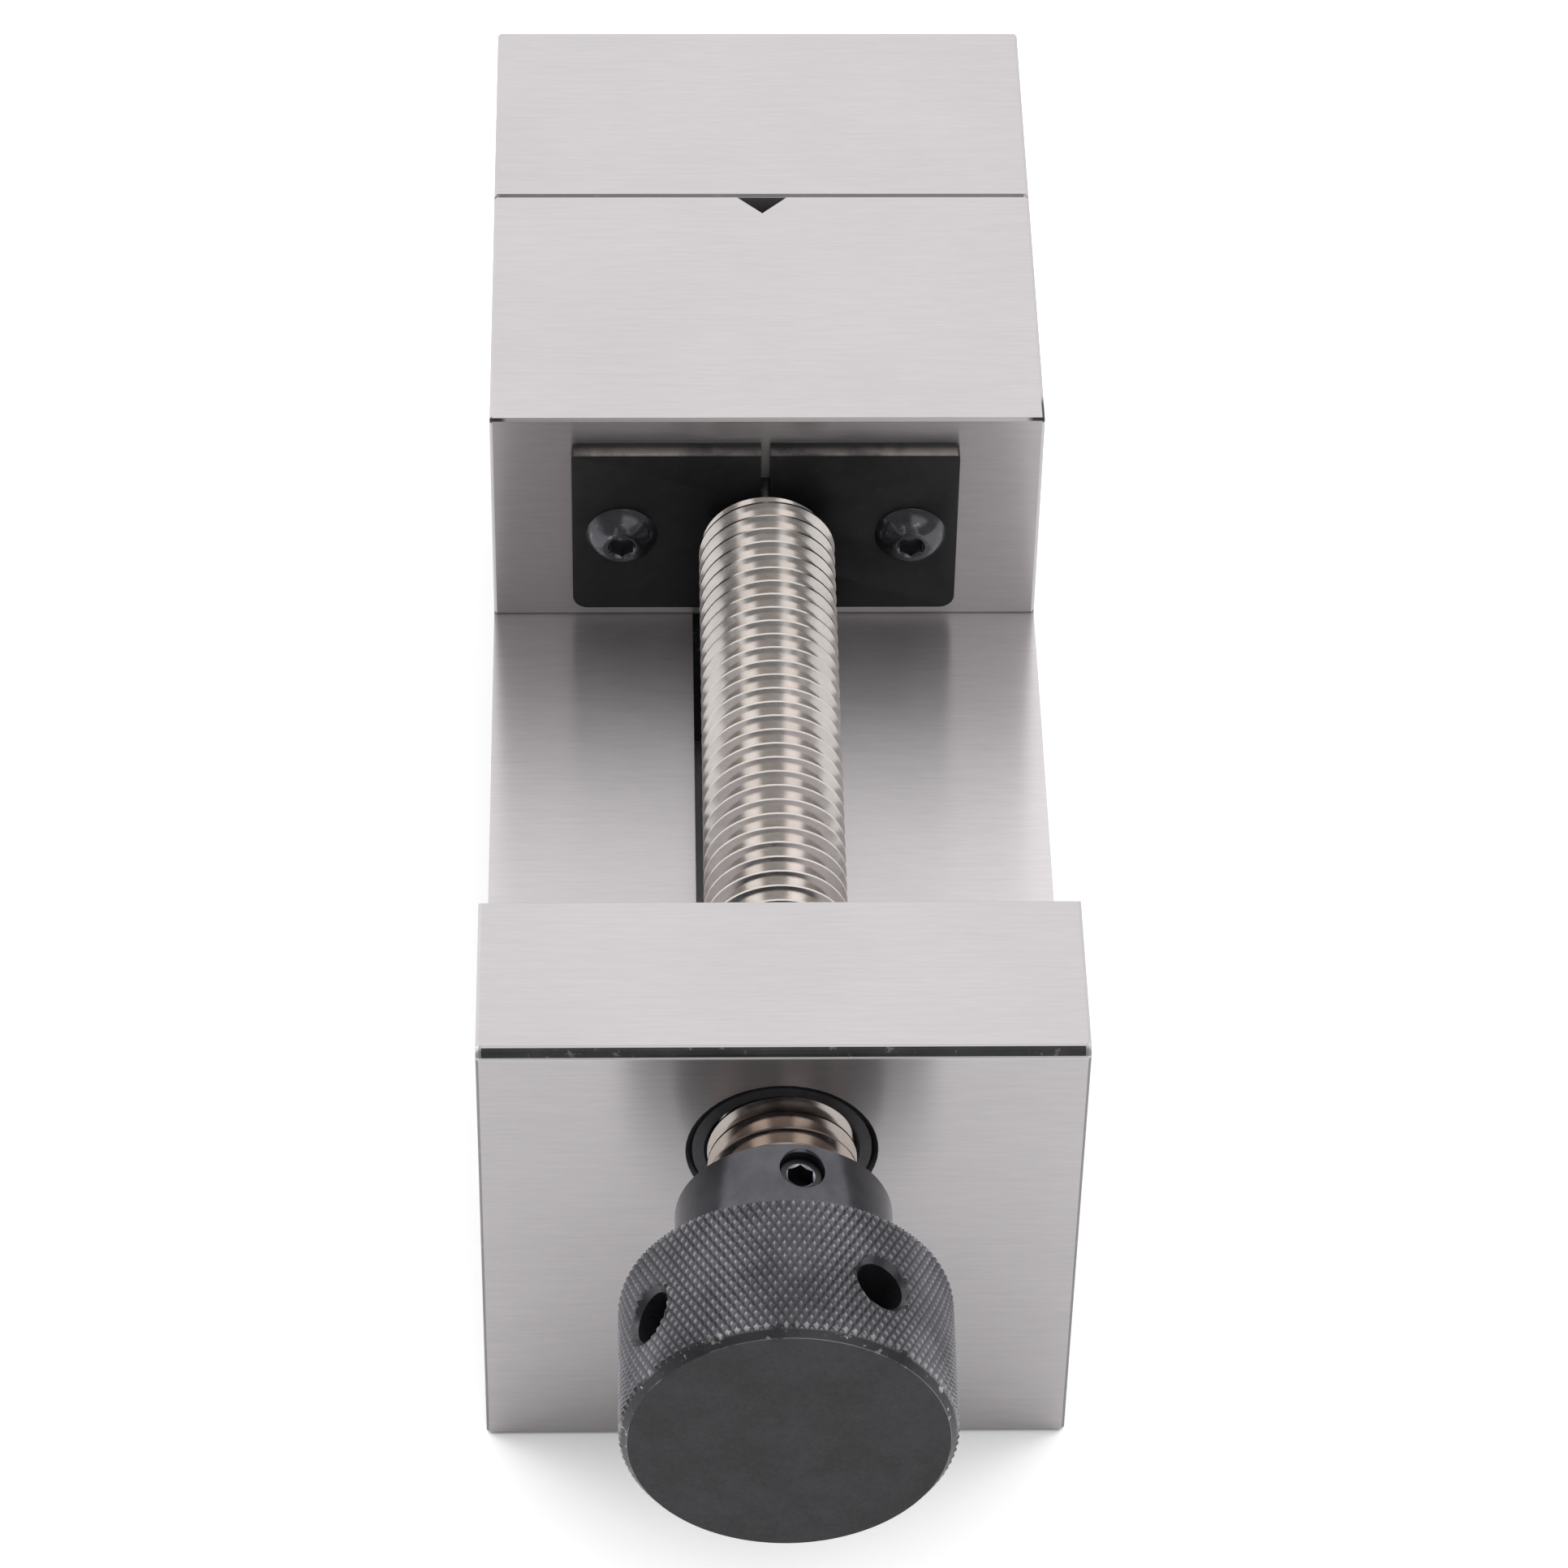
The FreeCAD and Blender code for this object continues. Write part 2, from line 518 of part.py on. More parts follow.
def make_knob():
    """Hub and head turned in one, with a blind bore, the set screw's hole and four tommy bar holes."""
    body = new_body("knob", ("0", KNOB_PLACE, "$screw_level"), turn="$grub_angle")
    bore = "($spigot_radius + $knob_clearance)"
    bore_end = "(-$spigot_length - $spigot_spare)"
    face = "(-$hub_length - $knob_length)"
    profile = new_sketch(body, "knob_profile", "XY_Plane")
    outline(profile, [
        (bore, "0"), ("$hub_radius - $hub_bevel", "0"), ("$hub_radius", "-$hub_bevel"),
        ("$hub_radius", "-$hub_length"), ("$knob_radius", "-$hub_length"),
        ("$knob_radius", face + " + $knob_chamfer"),
        ("$knob_face_radius", face), ("0", face), ("0", bore_end), (bore, bore_end)])
    revolve(body, "knob_turned", profile)
    outside = "($knob_radius + $hub_bevel)"
    hole = new_sketch(body, "bar_hole_outline", "XY_Plane", outside, "$bar_hole_angle - $grub_angle")
    circle(hole, "0", "-$hub_length - $bar_hole_place", "$bar_hole_radius")
    one_hole = pocket(body, "bar_hole", hole, "$hub_bevel + $bar_hole_depth")
    four = body.newObject("PartDesign::PolarPattern", "bar_holes")
    four.Originals = [one_hole]
    four.Axis = (origin_plane(body, "Y_Axis"), [""])
    four.Angle = 360
    four.Occurrences = 4
    body.Tip = four
    document.recompute()
    rim = size("knob_radius")
    chamfer(body, "bar_hole_mouths", curves_where(body.Shape, lambda p: near(
        math.hypot(p.x, p.z - size("screw_level")), rim)), "$bar_hole_mouth")
    grub = new_sketch(body, "grub_hole_outline", "XY_Plane", lift="$hub_radius + $hub_bevel")
    circle(grub, "0", "-$grub_place", "$grub_radius + $thread_fit")
    pocket(body, "grub_hole", grub, "$hub_radius + $hub_bevel - $spigot_radius / 2")
    return body


def make_set_screw():
    """M6 set screw in the hub, its tip on the spigot and its socket outside."""
    label = "knob_set_screw"
    body = new_body(label, ("$spigot_radius * sin($grub_angle * 1 deg)", KNOB_PLACE + " - $grub_place",
                            "$screw_level + $spigot_radius * cos($grub_angle * 1 deg)"), turn="$grub_angle")
    profile = new_sketch(body, label + "_profile", "XZ_Plane")
    outline(profile, [
        ("0", "0"), ("$grub_radius", "0"), ("$grub_radius", "$grub_length - $grub_bevel"),
        ("$grub_radius - $grub_bevel", "$grub_length"), ("0", "$grub_length")])
    revolve(body, label + "_turned", profile)
    socket = new_sketch(body, label + "_socket_outline", "XY_Plane", lift="$grub_length")
    hexagon(socket, "0", "0", "$grub_socket")
    pocket(body, label + "_socket", socket, "$grub_socket_depth")
    return body


def make_plate(label, side):
    """One of the two plates on the jaw, cut out half round for the screw's neck."""
    body = new_body(label)
    near_edge = f"$plate_shift {side} $plate_gap / 2"
    far_edge = f"$plate_shift {side} ($plate_gap / 2 + $plate_width)"
    profile = new_sketch(body, label + "_outline", "XZ_Plane", lift="$jaw_length")
    box_outline(profile, near_edge, far_edge, "$plate_bottom", "$plate_bottom + $plate_height")
    pad(body, label + "_block", profile, "$plate_thickness")
    far = max(abs(vertex.Point.x) for vertex in body.Shape.Vertexes)
    low = size("plate_bottom")
    for name, at_foot, radius in (("bottom", True, "$plate_corner"), ("top", False, "$plate_top_corner")):
        corner = edges_where(body.Shape, lambda ends: all(
            near(abs(p.x), far) and near(p.z, low) == at_foot for p in ends) and near(ends[0].z, ends[1].z))
        round_edges(body, f"{label}_{name}_corner", corner, radius)
    holes = new_sketch(body, label + "_holes_outline", "XZ_Plane", lift="$jaw_length")
    circle(holes, "0", "$screw_level", "$neck_radius + $neck_clearance")
    circle(holes, f"{side}$button_place", "$button_level", "$button_thread_radius + $bolt_clearance")
    pocket(body, label + "_holes", holes, "$plate_thickness", backwards=True)
    return body


def make_button_screw(label, side):
    """M5 button-head screw, its head on the plate."""
    body = new_body(label, (f"{side}$button_place", JAW_FRONT + " - $plate_thickness", "$button_level"))
    tip = "($plate_thickness + $button_reach)"
    profile = new_sketch(body, label + "_profile", "XY_Plane")
    outline(profile, [
        ("0", "-$button_head_height"), ("$button_flat", "-$button_head_height"),
        ("$button_head_radius", "0"), ("$button_thread_radius", "0"), ("$button_thread_radius", tip),
        ("0", tip)], dome=1)
    revolve(body, label + "_turned", profile)
    socket = new_sketch(body, label + "_socket_outline", "XZ_Plane", lift="$button_head_height")
    hexagon(socket, "0", "0", "$button_socket")
    pocket(body, label + "_socket", socket, "$button_socket_depth")
    return body


SUB_PARTS = [
    make_body(),
    make_movable_jaw(),
    make_keeper(),
    make_keeper_screw("keeper_screw_front", "-"),
    make_keeper_screw("keeper_screw_rear", "+"),
    make_lead_screw(),
    make_bush(),
    make_knob(),
    make_set_screw(),
    make_plate("retainer_plate_left", "-"),
    make_plate("retainer_plate_right", "+"),
    make_button_screw("retainer_screw_left", "-"),
    make_button_screw("retainer_screw_right", "+"),
]

document.recompute()
for item in document.Objects:
    if "Invalid" in item.State or "Error" in item.State:
        raise ValueError(f"{item.Name} is {item.State}")
for part in SUB_PARTS:
    if part.Shape.isNull() or not part.Shape.isValid() or len(part.Shape.Solids) != 1:
        raise ValueError(f"{part.Label} isn't one valid solid")

os.makedirs("parts", exist_ok=True)
for part in SUB_PARTS:
    part.Shape.exportStep(f"parts/{part.Label}.step")
    box = part.Shape.BoundBox
    print(f"{part.Label:24s} {part.Shape.Volume:10.1f}  X {box.XMin:7.2f} {box.XMax:7.2f}"
          f"  Y {box.YMin:7.2f} {box.YMax:7.2f}  Z {box.ZMin:7.2f} {box.ZMax:7.2f}")
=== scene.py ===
import math

import bpy
from bpy.props import FloatProperty, FloatVectorProperty, IntProperty, PointerProperty
from bpy.types import Operator, Panel, PropertyGroup
from mathutils import Euler, Matrix, Vector


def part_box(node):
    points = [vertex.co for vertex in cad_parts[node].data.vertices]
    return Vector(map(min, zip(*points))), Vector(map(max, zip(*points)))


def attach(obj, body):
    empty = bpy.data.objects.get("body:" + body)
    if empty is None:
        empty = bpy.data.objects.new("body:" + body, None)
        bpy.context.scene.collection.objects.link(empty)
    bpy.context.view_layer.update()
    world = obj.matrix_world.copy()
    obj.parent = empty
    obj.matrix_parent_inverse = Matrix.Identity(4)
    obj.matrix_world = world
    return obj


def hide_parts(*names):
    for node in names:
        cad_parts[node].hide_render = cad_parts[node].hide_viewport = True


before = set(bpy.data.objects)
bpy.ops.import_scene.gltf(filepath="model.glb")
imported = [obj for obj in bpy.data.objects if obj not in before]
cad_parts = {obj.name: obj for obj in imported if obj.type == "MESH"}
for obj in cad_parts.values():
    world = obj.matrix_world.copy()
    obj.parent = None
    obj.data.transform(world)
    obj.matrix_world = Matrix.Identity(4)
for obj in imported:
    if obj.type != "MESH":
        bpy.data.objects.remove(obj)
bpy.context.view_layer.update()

bl_info = {
    "name": "Precision vise",
    "version": (1, 0, 0),
    "blender": (4, 5, 0),
    "location": "View3D > Sidebar > Vise",
    "description": "Dresses a ground tool vise: screw, knob, plates, fasteners, finishes and studio",
    "category": "Object",
}

MM = 0.001


def box_of(node):
    """Lowest and highest corner of a node of the frame."""
    low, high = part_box(node)
    return Vector(low), Vector(high)


BODY_LOW, BODY_HIGH = box_of("body")
JAW_LOW, JAW_HIGH = box_of("movable_jaw")
SCREW_LOW, SCREW_HIGH = box_of("lead_screw")
KNOB_LOW, KNOB_HIGH = box_of("knob")
AXIS_LEVEL = (KNOB_LOW.z + KNOB_HIGH.z) / 2
WAYS_LEVEL = 36 * MM
BLOCK_BACK = -133.5 * MM
PLATE_FRONT = box_of("retainer_plate_left")[0].y

# screw
NECK_RADIUS = 4.2 * MM
PIVOT_RADIUS = 7.2 * MM
PIVOT_BEVEL = 1 * MM
SPIGOT_RADIUS = 7 * MM
THREAD_END = PLATE_FRONT - 2.1 * MM
THREAD_BEVEL = 1.2 * MM
KEY_SIZE = 3 * MM

# knob
HUB_LENGTH = 14.7 * MM
HUB_RADIUS = 12.95 * MM
HUB_BEVEL = 0.5 * MM
FACE_RADIUS = 18.65 * MM
FACE_CHAMFER = 1.4 * MM
BAR_HOLE_RADIUS = 3.1 * MM
BAR_HOLE_DEPTH = 11 * MM
BAR_HOLE_PLACE = 9.9 * MM
BAR_HOLE_ANGLES = [math.radians(33.5 + 90 * quarter) for quarter in range(4)]
GRUB_PLACE = 4 * MM
GRUB_ANGLE = math.radians(8.9)
GRUB_RADIUS = 2.7 * MM
GRUB_FOOT = 7 * MM
GRUB_TOP = 11.6 * MM
GRUB_BEVEL = 0.25 * MM

# plates and their screws
BUTTON_ACROSS = 19.2 * MM
BUTTON_LEVEL = 52.7 * MM
BUTTON_RADIUS = 4.75 * MM
BUTTON_FLAT = 2.3 * MM
BUTTON_HEIGHT = 2.6 * MM
BUTTON_SHANK = 2.5 * MM

# block's front top chamfer: its reach, and the painted highlight lines in it, measured from its middle
EDGE_REACH = 1.35 * MM
EDGE_LINES = (0.85 * MM, 1.35 * MM)

# where the screw's colour is tinted darker and warmer, from the knob towards the jaw
TINT_ENDS = (-163 * MM, -150 * MM)

# studio: name, place, width, height and power in watts of each lamp, and the point they aim at
LAMPS = (
    ("left_strip", (-0.43, -1.3, 0.42), 0.13, 0.8, 0.36),
    ("right_strip", (0.43, -1.3, 0.42), 0.13, 0.8, 0.31),
    ("left_box", (-0.6, 0.15, 0.93), 0.34, 0.5, 1.3),
    ("right_box", (0.6, 0.15, 0.93), 0.34, 0.5, 1.3))
LAMP_TARGET = Vector((0, -0.08, 0.05))

# camera of the photograph: place in metres, angles in radians, lens and sensor in millimetres
CAMERA_PLACE = (-0.017241, -0.645646, 0.602879)
CAMERA_ELEVATION, CAMERA_YAW, CAMERA_ROLL = 0.785, 0.034, 0.021
CAMERA_LENS, CAMERA_SENSOR = 140.05, 36


class ViseSizes(PropertyGroup):
    thread_pitch: FloatProperty(
        name="Thread pitch", description="Rise of the lead screw's thread in one turn",
        default=2.5 * MM, min=0.5 * MM, precision=5, unit="LENGTH")
    thread_depth: FloatProperty(
        name="Thread depth", description="Crest to root of the lead screw's thread",
        default=1.534 * MM, min=0.1 * MM, precision=5, unit="LENGTH")
    thread_crest: FloatProperty(
        name="Thread crest", description="Width of the flat on the crest of the thread",
        default=0.3 * MM, min=0.05 * MM, precision=5, unit="LENGTH")
    knurl_depth: FloatProperty(
        name="Knurl depth", description="Height of the knurl's teeth",
        default=0.4 * MM, min=0.05 * MM, precision=5, unit="LENGTH")
    knurl_height: FloatProperty(
        name="Knurl diamond length", description="Length of one diamond along the knob's axis",
        default=2.0 * MM, min=0.4 * MM, precision=5, unit="LENGTH")
    knurl_count: IntProperty(
        name="Knurl diamonds", description="Diamonds round the knob", default=107, min=24)
    hole_mouth: FloatProperty(
        name="Tommy bar hole chamfer", description="Chamfer at the mouths of the tommy bar holes",
        default=0.8 * MM, min=0.05 * MM, precision=5, unit="LENGTH")
    worn_edge: FloatProperty(
        name="Worn edge", description="Rounding of the edges of the two plates",
        default=0.22 * MM, min=0.02 * MM, precision=5, unit="LENGTH")


class ViseColours(PropertyGroup):
    ground: FloatVectorProperty(
        name="Ground steel", description="Reflection of the ground faces",
        default=(0.55, 0.526, 0.538), subtype="COLOR", min=0, max=1)
    bright: FloatVectorProperty(
        name="Screw steel", description="Reflection of the bright lead screw",
        default=(0.51, 0.48, 0.458), subtype="COLOR", min=0, max=1)
    black: FloatVectorProperty(
        name="Black finish", description="Blackened steel of plates, fasteners and chamfers",
        default=(0.03, 0.03, 0.034), subtype="COLOR", min=0, max=1)
    rubbed: FloatVectorProperty(
        name="Rubbed edges", description="Steel that shows where the black finish has worn off",
        default=(0.34, 0.3, 0.285), subtype="COLOR", min=0, max=1)
    # painted highlights: thin bright lines along the block's front top chamfer, where its edges catch the light
    painted_highlight: FloatVectorProperty(
        name="Bright burr", description="Thin lines along the block's front top chamfer",
        default=(0.7, 0.68, 0.68), subtype="COLOR", min=0, max=1)
    # a darker, warmer tint of the screw's colour near the knob
    knob_end_tint: FloatVectorProperty(
        name="Warm_tint", description="Tint of the greasy part of the screw",
        default=(0.64, 0.58, 0.545), subtype="COLOR", min=0, max=1)
    knob: FloatVectorProperty(
        name="Knob's black", description="Blackened steel of the knob",
        default=(0.031, 0.0308, 0.0348), subtype="COLOR", min=0, max=1)
    knob_rubbed: FloatVectorProperty(
        name="Knob's rubbed edges", description="Steel that shows on the knurl's tips and the knob's rim",
        default=(0.42, 0.41, 0.41), subtype="COLOR", min=0, max=1)
    floor: FloatVectorProperty(
        name="Floor", description="Studio floor", default=(0.86, 0.86, 0.86), subtype="COLOR", min=0, max=1)


# Modelling


def pick_only(piece):
    """Leaves one object selected and active, in object mode."""
    bpy.ops.object.select_all(action="DESELECT")
    piece.select_set(True)
    bpy.context.view_layer.objects.active = piece


def name_piece(name):
    """Names the object that an operator has just added, and its mesh."""
    piece = bpy.context.active_object
    piece.name = name
    piece.data.name = name
    return piece


def pick_edges(piece, test):
    """Selects the edges whose two ends pass a test, in edit mode."""
    bpy.ops.object.mode_set(mode="EDIT")
    bpy.ops.mesh.select_mode(type="EDGE")
    bpy.ops.mesh.select_all(action="DESELECT")
    bpy.ops.object.mode_set(mode="OBJECT")
    place = piece.matrix_world
    for edge in piece.data.edges:
        ends = [place @ piece.data.vertices[index].co for index in edge.vertices]
        edge.select = test(*ends)
    bpy.ops.object.mode_set(mode="EDIT")


def close_up(piece):
    """Merges doubles and points the faces outwards."""
    pick_only(piece)
    bpy.ops.object.mode_set(mode="EDIT")
    bpy.ops.mesh.select_all(action="SELECT")
    bpy.ops.mesh.remove_doubles(threshold=0.002 * MM)
    bpy.ops.mesh.normals_make_consistent(inside=False)
    bpy.ops.object.mode_set(mode="OBJECT")
    return piece


def turned(name, stations, centre=(0, AXIS_LEVEL), sides=64):
    """A solid turned about an axis along Y: pairs of a place on the axis and a radius, in metres."""
    (place, radius), *others = stations
    bpy.ops.object.select_all(action="DESELECT")
    bpy.ops.mesh.primitive_circle_add(
        vertices=sides, radius=radius, fill_type="NGON", enter_editmode=True,
        location=(centre[0], place, centre[1]), rotation=(math.pi / 2, 0, 0))
    for next_place, next_radius in others:
        bpy.ops.mesh.extrude_region_move(TRANSFORM_OT_translate={"value": (0, next_place - place, 0)})
        share = next_radius / radius
        bpy.ops.transform.resize(
            value=(share, 1, share), center_override=(centre[0], next_place, centre[1]))
        place, radius = next_place, next_radius
    bpy.ops.object.mode_set(mode="OBJECT")
    return close_up(name_piece(name))


def prism(name, flats, start, end, centre, sides=6):
    """A straight prism along Y, with the given width across flats."""
    bpy.ops.object.select_all(action="DESELECT")
    bpy.ops.mesh.primitive_cylinder_add(
        vertices=sides, radius=flats / 2 / math.cos(math.pi / sides), depth=end - start,
        location=(centre[0], (start + end) / 2, centre[1]), rotation=(math.pi / 2, 0, 0))
    return name_piece(name)


def combine(piece, tool, operation="DIFFERENCE"):
    """Cuts, joins or trims a piece with a tool, and removes the tool."""
    pick_only(piece)
    bpy.ops.object.modifier_add(type="BOOLEAN")
    modifier = piece.modifiers[-1]
    modifier.operation = operation
    modifier.solver = "EXACT"
    modifier.object = tool
    bpy.ops.object.modifier_apply(modifier=modifier.name)
    pick_only(tool)
    bpy.ops.object.delete()
    return piece


def join(piece, *others):
    """Puts other meshes into a piece as separate shells."""
    pick_only(piece)
    for other in others:
        other.select_set(True)
    bpy.ops.object.join()
    return piece


def stand_across(piece, place, angle):
    """Stands a turned piece across the knob: at a place on the knob's axis, at an angle from upright."""
    piece.matrix_world = (Matrix.Translation((0, place, AXIS_LEVEL)) @ Matrix.Rotation(angle, 4, "Y")
                          @ Matrix.Rotation(math.pi / 2, 4, "X") @ piece.matrix_world)
    return piece


def distance_from_line(point, foot, axis):
    """How far a point lies from a line through a foot point."""
    return (point - foot - axis * (point - foot).dot(axis)).length


def settle(piece, angle=30):
    """Applies a piece's place and turn to its mesh, and shades it smooth up to an angle in degrees."""
    pick_only(piece)
    bpy.ops.object.transform_apply(location=True, rotation=True, scale=True)
    bpy.ops.object.shade_smooth_by_angle(angle=math.radians(angle))
    return piece


def dress(piece, *materials):
    """Gives a piece its materials, first to last, in place of what it had."""
    piece.data.materials.clear()
    for material in materials:
        piece.data.materials.append(material)


def paint_faces(piece, index, test):
    """Gives the faces whose middle and normal pass a test the material at an index."""
    for face in piece.data.polygons:
        if test(face.center, face.normal):
            face.material_index = index


# Shader nodes


def add_node(tree, kind, inputs=None, **settings):
    """A node with its settings; each input gets a value or a link from an output."""
    node = tree.nodes.new(kind)
    for name, value in settings.items():
        setattr(node, name, value)
    for name, value in (inputs or {}).items():
        if isinstance(value, bpy.types.NodeSocket):
            tree.links.new(value, node.inputs[name])
        else:
            node.inputs[name].default_value = value
    return node


def math_node(tree, operation, first, second=0.5):
    """A sum, product, comparison or other operation on one or two values."""
    return add_node(tree, "ShaderNodeMath", {0: first, 1: second}, operation=operation).outputs[0]


def times(tree, first, *others):
    """The product of all values; of masks, where all of them hold."""
    for other in others:
        first = math_node(tree, "MULTIPLY", first, other)
    return first


def most(tree, first, *others):
    """The highest of all values; of masks, where any of them holds."""
    for other in others:
        first = math_node(tree, "MAXIMUM", first, other)
    return first


def above(tree, value, limit):
    return math_node(tree, "GREATER_THAN", value, limit)


def below(tree, value, limit):
    return math_node(tree, "LESS_THAN", value, limit)


def apart(tree, value, level):
    """How far a value is from a level, to either side."""
    return math_node(tree, "ABSOLUTE", math_node(tree, "SUBTRACT", value, level))


def ramp(tree, value, low, high, low_out=0.0, high_out=1.0):
    """Maps a value smoothly between two limits."""
    return add_node(tree, "ShaderNodeMapRange", {
        "Value": value, "From Min": low, "From Max": high, "To Min": low_out, "To Max": high_out},
        interpolation_type="SMOOTHSTEP").outputs["Result"]


def blend_colours(tree, factor, first, second, mode="MIX"):
    """A blend of two colours with alpha, by a factor."""
    return add_node(tree, "ShaderNodeMix", {0: factor, 6: first, 7: second},
                    data_type="RGBA", blend_type=mode).outputs[2]


def blend_values(tree, factor, first, second):
    """A blend of two numbers, by a factor."""
    return add_node(tree, "ShaderNodeMix", {0: factor, 2: first, 3: second}, data_type="FLOAT").outputs[0]


def toned(tree, colour, tone):
    """A colour whose brightness follows a tone that varies over the piece."""
    return add_node(tree, "ShaderNodeVectorMath", {0: tuple(colour), "Scale": tone},
                    operation="SCALE").outputs[0]


def split_axes(tree, vector):
    """The three parts of a vector."""
    return add_node(tree, "ShaderNodeSeparateXYZ", {0: vector}).outputs


def noise(tree, place, scale, stretch=(1, 1, 1), detail=2.0, roughness=0.5):
    """Noise over the piece; scale is in features per metre, stretch multiplies it along each axis."""
    mapped = add_node(tree, "ShaderNodeMapping", {"Vector": place, "Scale": stretch}).outputs[0]
    return add_node(tree, "ShaderNodeTexNoise", {
        "Vector": mapped, "Scale": scale, "Detail": detail, "Roughness": roughness}).outputs[0]


def new_group(name, inputs, outputs):
    """An empty node group with the named sockets, and the sockets of its input and its output node."""
    tree = bpy.data.node_groups.new(name, "ShaderNodeTree")
    for socket, kind in inputs.items():
        tree.interface.new_socket(socket, in_out="INPUT", socket_type=kind)
    for socket, kind in outputs.items():
        tree.interface.new_socket(socket, in_out="OUTPUT", socket_type=kind)
    return tree, tree.nodes.new("NodeGroupInput").outputs, tree.nodes.new("NodeGroupOutput").inputs


FLOAT, VECTOR = "NodeSocketFloat", "NodeSocketVector"


def level_group():
    """1 where a coordinate lies at a level, 0 elsewhere."""
    name = "At a level"
    if name in bpy.data.node_groups:
        return bpy.data.node_groups[name]
    tree, given, result = new_group(name, {"Coordinate": FLOAT, "Level": FLOAT}, {"Mask": FLOAT})
    distance = apart(tree, given["Coordinate"], given["Level"])
    tree.links.new(below(tree, distance, 0.04 * MM), result["Mask"])
    return tree


def grinding_group():
    """Lines of a surface grinder along X or Y: height and tone change across them, shade in wide patches."""
    name = "Grinding lines"
    if name in bpy.data.node_groups:
        return bpy.data.node_groups[name]
    tree, given, result = new_group(
        name, {"Vector": VECTOR, "Along X": FLOAT}, {"Height": FLOAT, "Tone": FLOAT, "Shade": FLOAT})
    fine, coarse = [], []
    for stretch in ((1, 0.05, 1), (0.05, 1, 1)):
        fine.append(noise(tree, given["Vector"], 5200, stretch, 3, 0.6))
        coarse.append(noise(tree, given["Vector"], 2400, stretch, 2, 0.5))
    fine, coarse = (blend_values(tree, given["Along X"], *lines) for lines in (fine, coarse))
    cloud = noise(tree, given["Vector"], 45, detail=2)
    tree.links.new(fine, result["Height"])
    tone = math_node(tree, "ADD", times(tree, fine, 0.6), times(tree, coarse, 0.4))
    tree.links.new(tone, result["Tone"])
    tree.links.new(cloud, result["Shade"])
    return tree


def oxide_group():
    """Blackened steel: mottled tone, fine grain for the bump, and specks where it is rubbed."""
    name = "Black oxide"
    if name in bpy.data.node_groups:
        return bpy.data.node_groups[name]
    tree, given, result = new_group(
        name, {"Vector": VECTOR}, {"Tone": FLOAT, "Grain": FLOAT, "Specks": FLOAT})
    cloud = noise(tree, given["Vector"], 130, detail=5, roughness=0.65)
    grain = noise(tree, given["Vector"], 2600, detail=3, roughness=0.6)
    nicks = noise(tree, given["Vector"], 700, detail=3, roughness=0.7)
    tree.links.new(cloud, result["Tone"])
    tree.links.new(grain, result["Grain"])
    tree.links.new(ramp(tree, nicks, 0.6, 0.68), result["Specks"])
    return tree


def place_group(tree, group, inputs):
    """The outputs of a node group whose inputs get values or links."""
    return add_node(tree, "ShaderNodeGroup", inputs, node_tree=group).outputs


def start_material(name):
    """A material with only its output and a Principled shader, and the object coordinates."""
    material = bpy.data.materials.new(name)
    material.use_nodes = True
    tree = material.node_tree
    shader = tree.nodes["Principled BSDF"]
    place = tree.nodes.new("ShaderNodeTexCoord").outputs["Object"]
    return material, tree, shader, place


def link_bump(tree, shader, height, strength, distance):
    """Roughens a shader's normal by a height."""
    bump = add_node(tree, "ShaderNodeBump", {"Height": height, "Strength": strength, "Distance": distance})
    tree.links.new(bump.outputs[0], shader.inputs["Normal"])


def bare_jaw_edges(tree, split):
    """1 on the movable jaw's ground chamfers: the upright ones, and the top ones but for the front corners."""
    reach = 0.7 * MM
    across = math_node(tree, "ABSOLUTE", split[0])
    outside = above(tree, across, JAW_HIGH.x - reach)
    upright = times(tree, outside, below(tree, split[1], JAW_LOW.y + reach),
                    below(tree, split[2], JAW_HIGH.z - reach))
    middle = times(tree, ramp(tree, across, JAW_HIGH.x - 2.6 * MM, JAW_HIGH.x - 1.4 * MM, 1, 0),
                   above(tree, split[2], JAW_HIGH.z - reach))
    behind = ramp(tree, split[1], JAW_LOW.y + 3 * MM, JAW_LOW.y + 5 * MM)
    left = times(tree, below(tree, split[0], 0), above(tree, split[1], JAW_LOW.y + reach))
    return most(tree, upright, middle, times(tree, outside, most(tree, behind, left)))


def block_front_edge(tree, split):
    """How far a point lies from the middle of the block's front top chamfer, and 1 on that chamfer."""
    away = apart(tree, math_node(tree, "ADD", split[1], split[2]), BODY_LOW.y + BODY_HIGH.z)
    on_it = times(tree, below(tree, split[1], BODY_LOW.y + EDGE_REACH),
                  above(tree, split[2], BODY_HIGH.z - EDGE_REACH))
    return away, on_it


def bare_body_edges(tree, split):
    """How bare the body's chamfers are: along both sides, and in part on the fixed jaw."""
    outside = above(tree, math_node(tree, "ABSOLUTE", split[0]), BODY_HIGH.x - 0.7 * MM)
    sides = times(tree, outside, ramp(tree, split[1], BODY_LOW.y + 0.6 * MM, BODY_LOW.y + 0.9 * MM, 0.5, 1))
    beside_jaw = below(tree, apart(tree, split[1], 0.2 * MM), 0.25 * MM)
    jaw = times(tree, beside_jaw, above(tree, split[2], BODY_HIGH.z - 0.45 * MM), 0.5)
    return most(tree, sides, jaw)


def painted_edge_highlights(tree, split):
    """1 on the thin lines of painted highlight on both sides of the black in the block's front top chamfer."""
    away, on_it = block_front_edge(tree, split)
    return times(tree, above(tree, away, EDGE_LINES[0]), below(tree, away, EDGE_LINES[1]), on_it)


